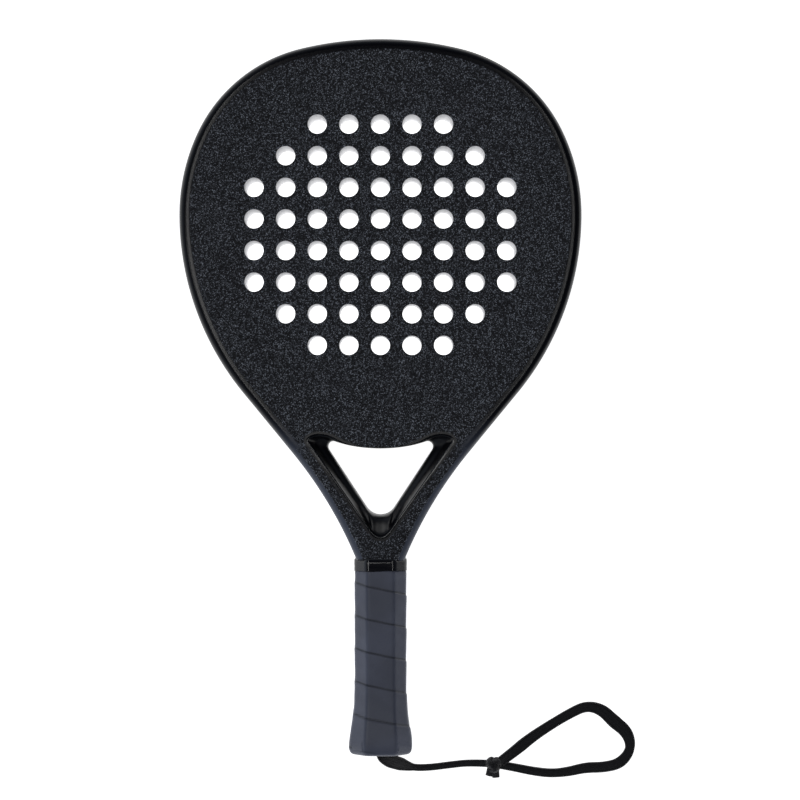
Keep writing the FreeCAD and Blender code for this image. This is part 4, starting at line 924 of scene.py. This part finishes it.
def scoop_grid(outline):
    """Wall of the throat opening: between the scoop's line and the opening's line each section is the
    B-spline of eleven controls, blended from three kinds by how far round it is.

    Along the bridge it is a plain rounding.  Along the arms it is a small polished chamfer, a steep wall and
    a lip that slopes into the opening.  At the toe it is a shallow bowl, z = x^2 / 2r across the axis.  The
    second value of each point's extra vector is 1 on the chamfer.
    """
    edge, mouth = outline.scoop_loop(), outline.opening_loop()
    across = mouth - edge
    width = np.linalg.norm(across, axis=1)
    along = np.roll(edge, -1, axis=0) - np.roll(edge, 1, axis=0)
    reach = np.abs(across[:, 0] * along[:, 1] - across[:, 1] * along[:, 0]) / np.linalg.norm(along, axis=1)
    reach = np.maximum(reach, 0.6 * width)
    count = len(edge)
    half = (count + 1) // 2
    position = np.abs(((np.arange(count) + half) % count) - half)
    arm, toe = smooth_step(30, 56, position), smooth_step(104, 124, position)
    deep, bowl_radius = outline.scoop.scoop_depth, outline.scoop.bowl_radius
    inward, chamfer = -1.0 * MM / reach, 1.1 * MM / reach
    # For each control: share of the way across, and drop below the face in millimetres or widths.
    bridge = [(1.4 * inward, 0), (inward, 0), (0, 0), (0.2, 0), (0.4, 0.02), (0.7, 0.1), (1, 0.5), (1, 1.2),
              (1, 3), (1, 4)]
    arms = [(1.4 * inward, 0), (inward, 0), (0, 0), (chamfer, 0.18), (1.4 * chamfer, 1.1),
            (0.36, 0.74 * deep / MM), (0.46, 0.92 * deep / MM), (0.82, 1.12 * deep / MM),
            (1, 1.4 * deep / MM), (1, 1.85 * deep / MM)]
    bowl = [(1.4 * inward, 0), (inward, 0), (0, 0), (chamfer, 0.18), (1.4 * chamfer, 0.9), (0.16, 3.0),
            (0.26, 3.9), (0.62, 4.6), (0.86, 6.4), (1, 10.5)]
    controls = []
    for (a, drop_a), (b, drop_b), (c, drop_c) in zip(bridge, arms, bowl):
        share = (a * (1 - arm) + b * arm) * (1 - toe) + c * toe
        place = edge + across * share[:, None]
        lift = min(drop_c, 1.0) * place[:, 0] ** 2 / (2 * bowl_radius)
        drop = (drop_a * width * (1 - arm) + drop_b * MM * arm) * (1 - toe) + (drop_c * MM - lift) * toe
        controls.append(at_height(place, outline.half_depth(place[:, 1]) - drop))
    controls.append(at_height(mouth, 0.0))
    front = bspline(np.stack(controls), 5)
    polish = np.interp(np.arange(len(front)), (10, 13, 17, 20), (0, 1, 1, 0))
    rows = np.concatenate([front, front[-2::-1] * (1.0, 1.0, -1.0)]) + (0.0, 0.0, outline.middle)
    polish = np.concatenate([polish, polish[-2::-1]])
    return rows, np.broadcast_to(polish[:, None, None] * (0.0, 1.0, 0.0), rows.shape)


class RACKET_OT_frame(bpy.types.Operator):
    """Lacquered frame: hoop, arms, throat scoops, bridge, and the legs inside the handle"""
    bl_idname = "racket.frame"
    bl_label = "Frame"

    def execute(self, context):
        outline, face, colours = racket_outline(), settings().face, settings().colours
        size = outline.sizes
        surface = Surface()
        rim, free = rim_grid(outline)
        surface.grid(rim, extra=free)
        scoops, polish = scoop_grid(outline)
        surface.grid(scoops, wrap_columns=True, slot=1, extra=polish)
        inset = size.tube_width - face.face_lap
        rebate = outline.head_loop(inset, face.face_lap)
        cavity = outline.head_loop(size.tube_width, 0.0)
        lattice = np.stack(np.meshgrid(
            np.arange(-60, 61, 4.0), np.arange(-102.0, -20.0, 4.0)), -1).reshape(-1, 2) * MM
        inner = rim[:, 0, :2]
        near = np.concatenate([inner, scoops[0, :, :2], rebate])
        gaps = np.linalg.norm(lattice[:, None] - near[None], axis=2).min(1)
        lattice = lattice[gaps > 1.2 * MM]
        corners, triangles = fill([inner, rebate, scoops[0, :, :2]], lattice)
        depth = outline.half_depth(corners[:, 1])
        surface.add(at_height(corners, outline.middle + depth), triangles)
        surface.add(at_height(corners, outline.middle - depth), triangles)
        ledge = face.face_thickness
        full = size.overall_depth
        surface.grid(np.stack([
            at_height(rebate, full), at_height(rebate, full - ledge), at_height(cavity, full - ledge),
            at_height(cavity, ledge), at_height(rebate, ledge), at_height(rebate, 0.0)]),
            wrap_columns=True, slot=2)
        surface.cap(np.concatenate([rim[0], rim[-1][::-1]]))
        self.add_legs(surface, size, outline)
        finishes = [finish_of(maker, colours) for maker in (lacquer_sanded, lacquer_satin)]
        finishes.append(finish_of(moulded_plastic, colours, "bare_laminate"))
        piece = surface.build("lacquered_frame", finishes, attribute="finish")
        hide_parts("frame_hoop", "throat_bridge")
        return {"FINISHED"}

    @staticmethod
    def add_legs(surface, size, outline):
        """Two bevelled prisms from just inside the neck to the leg ends."""
        inner, outer = size.leg_gap / 2, size.leg_block_width / 2
        deep, bevel = size.leg_block_depth / 2, size.leg_bevel
        section = np.array([(inner, -deep), (outer - bevel, -deep), (outer, bevel - deep),
                            (outer, deep - bevel), (outer - bevel, deep), (inner, deep)])
        for sign in (1.0, -1.0):
            rings = [np.stack([section[:, 0] * sign, np.full(6, y), section[:, 1] + outline.middle], 1)
                     for y in (outline.neck_y - 0.01 * MM, size.leg_end_gap - outline.top)]
            surface.grid(np.stack(rings), wrap_columns=True, slot=2)
            surface.cap(rings[0], slot=2)
            surface.cap(rings[1], slot=2)


def plate(outline, loop, low, high, rounding, finishes, name):
    """A flat layer with its holes: the loop filled at both levels, joined by walls; at the high level each
    hole's edge is rolled over as a quarter circle of the rounding."""
    face = settings().face
    radius = face.hole_diameter / 2
    centres = hole_centres(outline, face)
    angle = np.linspace(0, 2 * math.pi, 48, endpoint=False)
    ring = np.stack([np.cos(angle), np.sin(angle)], 1)
    holes = [centre + ring * (radius + rounding) for centre in centres]
    corners, triangles = fill([loop, *holes])
    outward = corners[:, None] - centres[None]
    gap = np.linalg.norm(outward, axis=2)
    nearest = gap.argmin(1)
    pick = np.arange(len(corners))
    on_hole = gap[pick, nearest] < radius + rounding + 0.01 * MM
    direction = outward[pick, nearest] / gap[pick, nearest][:, None]
    drawn_in = np.where(on_hole[:, None], centres[nearest] + direction * radius, corners)
    surface = Surface()
    surface.add(at_height(corners, high), triangles)
    surface.add(at_height(drawn_in, low), triangles)
    surface.grid(np.stack([at_height(loop, high), at_height(loop, low)]), wrap_columns=True)
    steps = 5 if rounding else 1
    bend = np.radians(np.linspace(0.0, 90.0, steps))
    radii = np.concatenate([radius + rounding * (1 - np.sin(bend)), [radius]])
    sign = 1.0 if high > low else -1.0
    heights = np.concatenate([high - sign * rounding * (1 - np.cos(bend)), [low]])
    for centre in centres:
        walls = np.stack([at_height(centre + ring * r, z) for r, z in zip(radii, heights)])
        surface.grid(walls, wrap_columns=True)
    return surface.build(name, finishes, sharp=50)


class RACKET_OT_faces(bpy.types.Operator):
    """Front and rear hitting faces with their drilled holes, and the foam core between them"""
    bl_idname = "racket.faces"
    bl_label = "Faces and core"

    def execute(self, context):
        outline, face, colours = racket_outline(), settings().face, settings().colours
        size = outline.sizes
        loop = outline.head_loop(size.tube_width - face.face_lap, face.face_lap)
        full, skin = size.overall_depth, face.face_thickness
        sanded = [finish_of(lacquer_sanded, colours)]
        for node, low, high in (("front_face", full - skin, full), ("rear_face", skin, 0.0)):
            piece = plate(outline, loop, low, high, face.hole_round, sanded, "painted_" + node)
            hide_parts(node)
        core = plate(outline, outline.head_loop(size.tube_width, 0.0), skin, full - skin, 0.0,
                     [finish_of(drilled_eva_foam, colours)], "drilled_core")
        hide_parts("foam_core")
        return {"FINISHED"}


def octagon_rows(size, growth, bevel, corner):
    """Rounded octagons, one for each growth: every corner becomes three controls of a closed B-spline."""
    growth = np.asarray(growth, float)[:, None]
    bevel = np.broadcast_to(bevel, growth.shape)
    a, b = size.shell_width / 2 + growth, size.shell_depth / 2 + growth
    x = np.concatenate([a, a, a - bevel, bevel - a, -a, -a, bevel - a, a - bevel], 1)
    z = np.concatenate([bevel - b, b - bevel, b, b, b - bevel, bevel - b, -b, -b], 1)
    points = np.stack([x, z], -1)
    before = np.roll(points, 1, axis=1) - points
    after = np.roll(points, -1, axis=1) - points
    before /= np.linalg.norm(before, axis=2, keepdims=True)
    after /= np.linalg.norm(after, axis=2, keepdims=True)
    controls = np.stack([points + before * corner, points, points + after * corner], 2)
    controls = controls.reshape(len(growth), 24, 2).transpose(1, 0, 2)
    return bspline(controls, 5, closed=True).transpose(1, 0, 2)


class RACKET_OT_grip(bpy.types.Operator):
    """Cushioned wrap round the handle, its strip overlapping turn by turn down to the flared butt"""
    bl_idname = "racket.grip"
    bl_label = "Grip"

    def execute(self, context):
        size, outline = settings().handle, racket_outline()
        thick = size.grip_thickness
        handle = outline.neck_y + outline.top
        sunk = size.tape_thickness - size.tape_proud
        start = handle - size.tape_length
        controls = [(handle, -sunk), (start + 0.6 * MM, -sunk), (start - 0.4 * MM, 0.0)]
        controls += [(distance, 0.0) for distance in np.arange(start / MM - 4, 44, -4.0) * MM]
        controls += [(distance * MM, growth * MM) for distance, growth in FLARE]
        controls += [(0.0, -thick)]
        profile = bspline(controls, 14)
        bevel = size.grip_bevel + np.maximum(profile[:, 1:2], 0.0) * 0.59
        rows = octagon_rows(size, profile[:, 1] + thick, bevel, size.grip_corner)
        down = profile[:, 0]
        x, z = rows[..., 0], rows[..., 1]
        turn = np.arctan2(x, z) / (2 * math.pi)
        pitch = size.wrap_pitch
        phase = (down[:, None] + turn * pitch - size.wrap_start) / pitch
        above = (phase % 1.0) * pitch
        seam = np.minimum(above, pitch - above)
        free = smooth_step(1.0 * MM, 5.0 * MM, down)[:, None]
        free = free * (1 - smooth_step(start - 3 * MM, start - 0.5 * MM, down))[:, None]
        groove = np.exp(-(seam / (0.6 * MM)) ** 2)
        lift = size.wrap_step * (above / pitch - 0.5) * (1 - groove) - size.wrap_groove * groove
        ripple = np.sin(down[:, None] * 410 + turn * 9) * np.sin(turn * 25.1 + down[:, None] * 190)
        lift = (lift + 0.07 * MM * ripple) * free
        reach = np.hypot(x, z)
        outward = np.stack([x / reach, z / reach], -1)
        rows = rows + outward * lift[..., None]
        y = np.broadcast_to((down - outline.top)[:, None], x.shape)
        points = np.stack([rows[..., 0], y, rows[..., 1] + outline.middle], -1)
        # The attribute's first value marks the seam grooves, which the wrap's material paints darker as
        # painted shade.
        extra = np.stack([groove * free, y, 0 * y], -1)
        surface = Surface()
        surface.grid(points, wrap_columns=True, extra=extra)
        inside_profile = [(handle, 0.0), (CAP_FLARE[0][0] * MM, 0.0)]
        inside_profile += [(distance * MM, growth * MM) for distance, growth in CAP_FLARE]
        inside_profile = np.array(inside_profile)
        inner = octagon_rows(size, inside_profile[:, 1], size.shell_bevel, 0.2 * MM)
        inner_y = np.broadcast_to((inside_profile[:, 0] - outline.top)[:, None], inner.shape[:2])
        inner = np.stack([inner[..., 0], inner_y, inner[..., 1] + outline.middle], -1)
        surface.grid(inner, wrap_columns=True)
        surface.grid(np.stack([points[0], inner[0]]), wrap_columns=True)
        surface.grid(np.stack([points[-1], inner[-1]]), wrap_columns=True)
        piece = surface.build("wrapped_grip", [finish_of(polyurethane_wrap, settings().colours)],
                              attribute="wrap", sharp=60)
        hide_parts("base_grip")
        return {"FINISHED"}


class RACKET_OT_collar(bpy.types.Operator):
    """Vinyl finishing tape round the top end of the grip"""
    bl_idname = "racket.collar"
    bl_label = "Finishing tape"

    def execute(self, context):
        size, outline = settings().handle, racket_outline()
        top, low = -1.4 * MM, size.tape_length
        outer = size.grip_thickness + size.tape_proud
        inner = outer - size.tape_thickness
        soft = 0.3 * MM
        profile = np.array([
            (top, inner - MM), (top, outer - 4 * soft), (top + soft, outer - 2 * soft),
            (top + 4 * soft, outer),
            (low * 0.3, outer + 0.05 * MM), (low * 0.55, outer - 0.04 * MM), (low * 0.8, outer),
            (low - 2 * soft, outer), (low - soft, outer), (low, outer - soft), (low, inner)])
        rows = octagon_rows(size, profile[:, 1], size.grip_bevel, size.grip_corner)
        turn = np.arctan2(rows[..., 0], rows[..., 1])
        wave = 0.28 * MM * np.sin(turn * 2 + 0.6) + 0.16 * MM * np.sin(turn * 5)
        share = (profile[:, 0] / low)[:, None]
        y = outline.neck_y - profile[:, :1] + wave * share * 0.8
        y = np.broadcast_to(y, rows.shape[:2])
        points = np.stack([rows[..., 0], y, rows[..., 1] + outline.middle], -1)
        surface = Surface()
        surface.grid(points, wrap_rows=True, wrap_columns=True)
        piece = surface.build("collar_tape", [finish_of(stretched_pvc_tape, settings().colours)], sharp=50)
        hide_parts("grip_finishing_tape")
        return {"FINISHED"}


class RACKET_OT_inner(bpy.types.Operator):
    """Finishes of the pieces that keep their own shape: cap, shells, foams, staples and the anchor knot"""
    bl_idname = "racket.inner"
    bl_label = "Inner pieces"

    def execute(self, context):
        colours = settings().colours
        finishes = {
            "butt_cap": (moulded_plastic, "handle_plastic"),
            "handle_shell_front": (moulded_plastic, "handle_plastic"),
            "handle_shell_rear": (moulded_plastic, "handle_plastic"),
            "butt_cap_staples": (galvanised_wire,),
            "frame_foam": (expanded_foam,),
            "bridge_foam": (expanded_foam,),
            "handle_foam": (expanded_foam,),
            "cord_anchor_knot": (braided_polyester,),
        }
        for node, (maker, *name) in finishes.items():
            mesh = frame["nodes"][node].data
            mesh.materials.clear()
            mesh.materials.append(finish_of(maker, colours, *name))
        return {"FINISHED"}


class RACKET_OT_stage(bpy.types.Operator):
    """Plain white floor and soft studio light"""
    bl_idname = "racket.stage"
    bl_label = "Stage"

    def execute(self, context):
        material, _, shader = new_material("white_floor", settings().colours.floor, 0.9)
        shader.inputs["Emission Color"].default_value = (1.0, 1.0, 1.0, 1.0)
        shader.inputs["Emission Strength"].default_value = 1.0
        half, below = 2.0, 0.0002
        mesh = bpy.data.meshes.new("floor")
        mesh.from_pydata([(-half, -half, 0), (half, -half, 0), (half, half, 0), (-half, half, 0)],
                         [], [(0, 1, 2, 3)])
        mesh.materials.append(material)
        floor = bpy.data.objects.new("floor", mesh)
        floor.location.z = -below
        context.scene.collection.objects.link(floor)
        aside, height, long, narrow = 0.40, 1.45, 1.3, 0.07
        left, right = (-aside, LIGHTS_ALONG, height), (aside, LIGHTS_ALONG, height)
        self.softbox("left_softbox", left, (long, narrow), 2.5)
        self.softbox("cross_softbox", left, (narrow, long), 1.3)
        self.softbox("right_softbox", right, (long, narrow), 1.8)
        self.add_world(context)
        context.scene.view_settings.view_transform = "Standard"
        return {"FINISHED"}

    @staticmethod
    def add_world(context):
        """Studio walls: bright at the horizon and on the left, dark overhead."""
        world = bpy.data.worlds.new("studio")
        world.use_nodes = True
        tree = world.node_tree
        direction = add_node(tree, "SeparateXYZ", {"Vector": add_node(tree, "TexCoord").outputs["Generated"]})
        height = map_range(tree, direction.outputs["Z"], 0.0, 0.95, 0.42, 0.02)
        side = math_node(tree, "MULTIPLY_ADD", direction.outputs["X"], -0.75)
        side.node.inputs[2].default_value = 1.0
        background = tree.nodes["Background"]
        background.inputs["Color"].default_value = (0.80, 0.88, 1.0, 1.0)
        tree.links.new(math_node(tree, "MULTIPLY", height, side), background.inputs["Strength"])
        context.scene.world = world

    @staticmethod
    def softbox(name, place, size, watts):
        """A rectangular light aimed at the floor under the racket; its first side runs along the racket."""
        light = bpy.data.lights.new(name, "AREA")
        light.shape = "RECTANGLE"
        light.size, light.size_y = size
        light.energy = watts
        holder = bpy.data.objects.new(name, light)
        holder.location = place
        toward = Vector((0.0, LIGHTS_ALONG, 0.0)) - Vector(place)
        holder.rotation_euler = toward.to_track_quat("-Z", "Y").to_euler()
        bpy.context.scene.collection.objects.link(holder)


OPERATORS = (RACKET_OT_camera, RACKET_OT_cord, RACKET_OT_frame, RACKET_OT_faces, RACKET_OT_grip,
             RACKET_OT_collar, RACKET_OT_inner, RACKET_OT_stage)


class RACKET_PT_panel(bpy.types.Panel):
    """Lists the racket's operators"""
    bl_label = "Padel racket"
    bl_idname = "RACKET_PT_panel"
    bl_space_type = "VIEW_3D"
    bl_region_type = "UI"
    bl_category = "Racket"

    def draw(self, context):
        for operator in OPERATORS:
            self.layout.operator(operator.bl_idname)


CLASSES = (FrameSizes, ThroatSizes, FaceSizes, HandleSizes, Colours, RacketSettings,
           *OPERATORS, RACKET_PT_panel)


def register():
    for item in CLASSES:
        bpy.utils.register_class(item)
    bpy.types.Scene.racket = bpy.props.PointerProperty(
        type=RacketSettings, name="Racket", description="Sizes and colours of the racket")


def unregister():
    del bpy.types.Scene.racket
    for item in reversed(CLASSES):
        bpy.utils.unregister_class(item)


def main():
    register()
    for operator in OPERATORS:
        group, name = operator.bl_idname.split(".")
        if getattr(getattr(bpy.ops, group), name)() != {"FINISHED"}:
            raise RuntimeError(operator.bl_label + " did not finish")


if __name__ == "__main__":
    main()
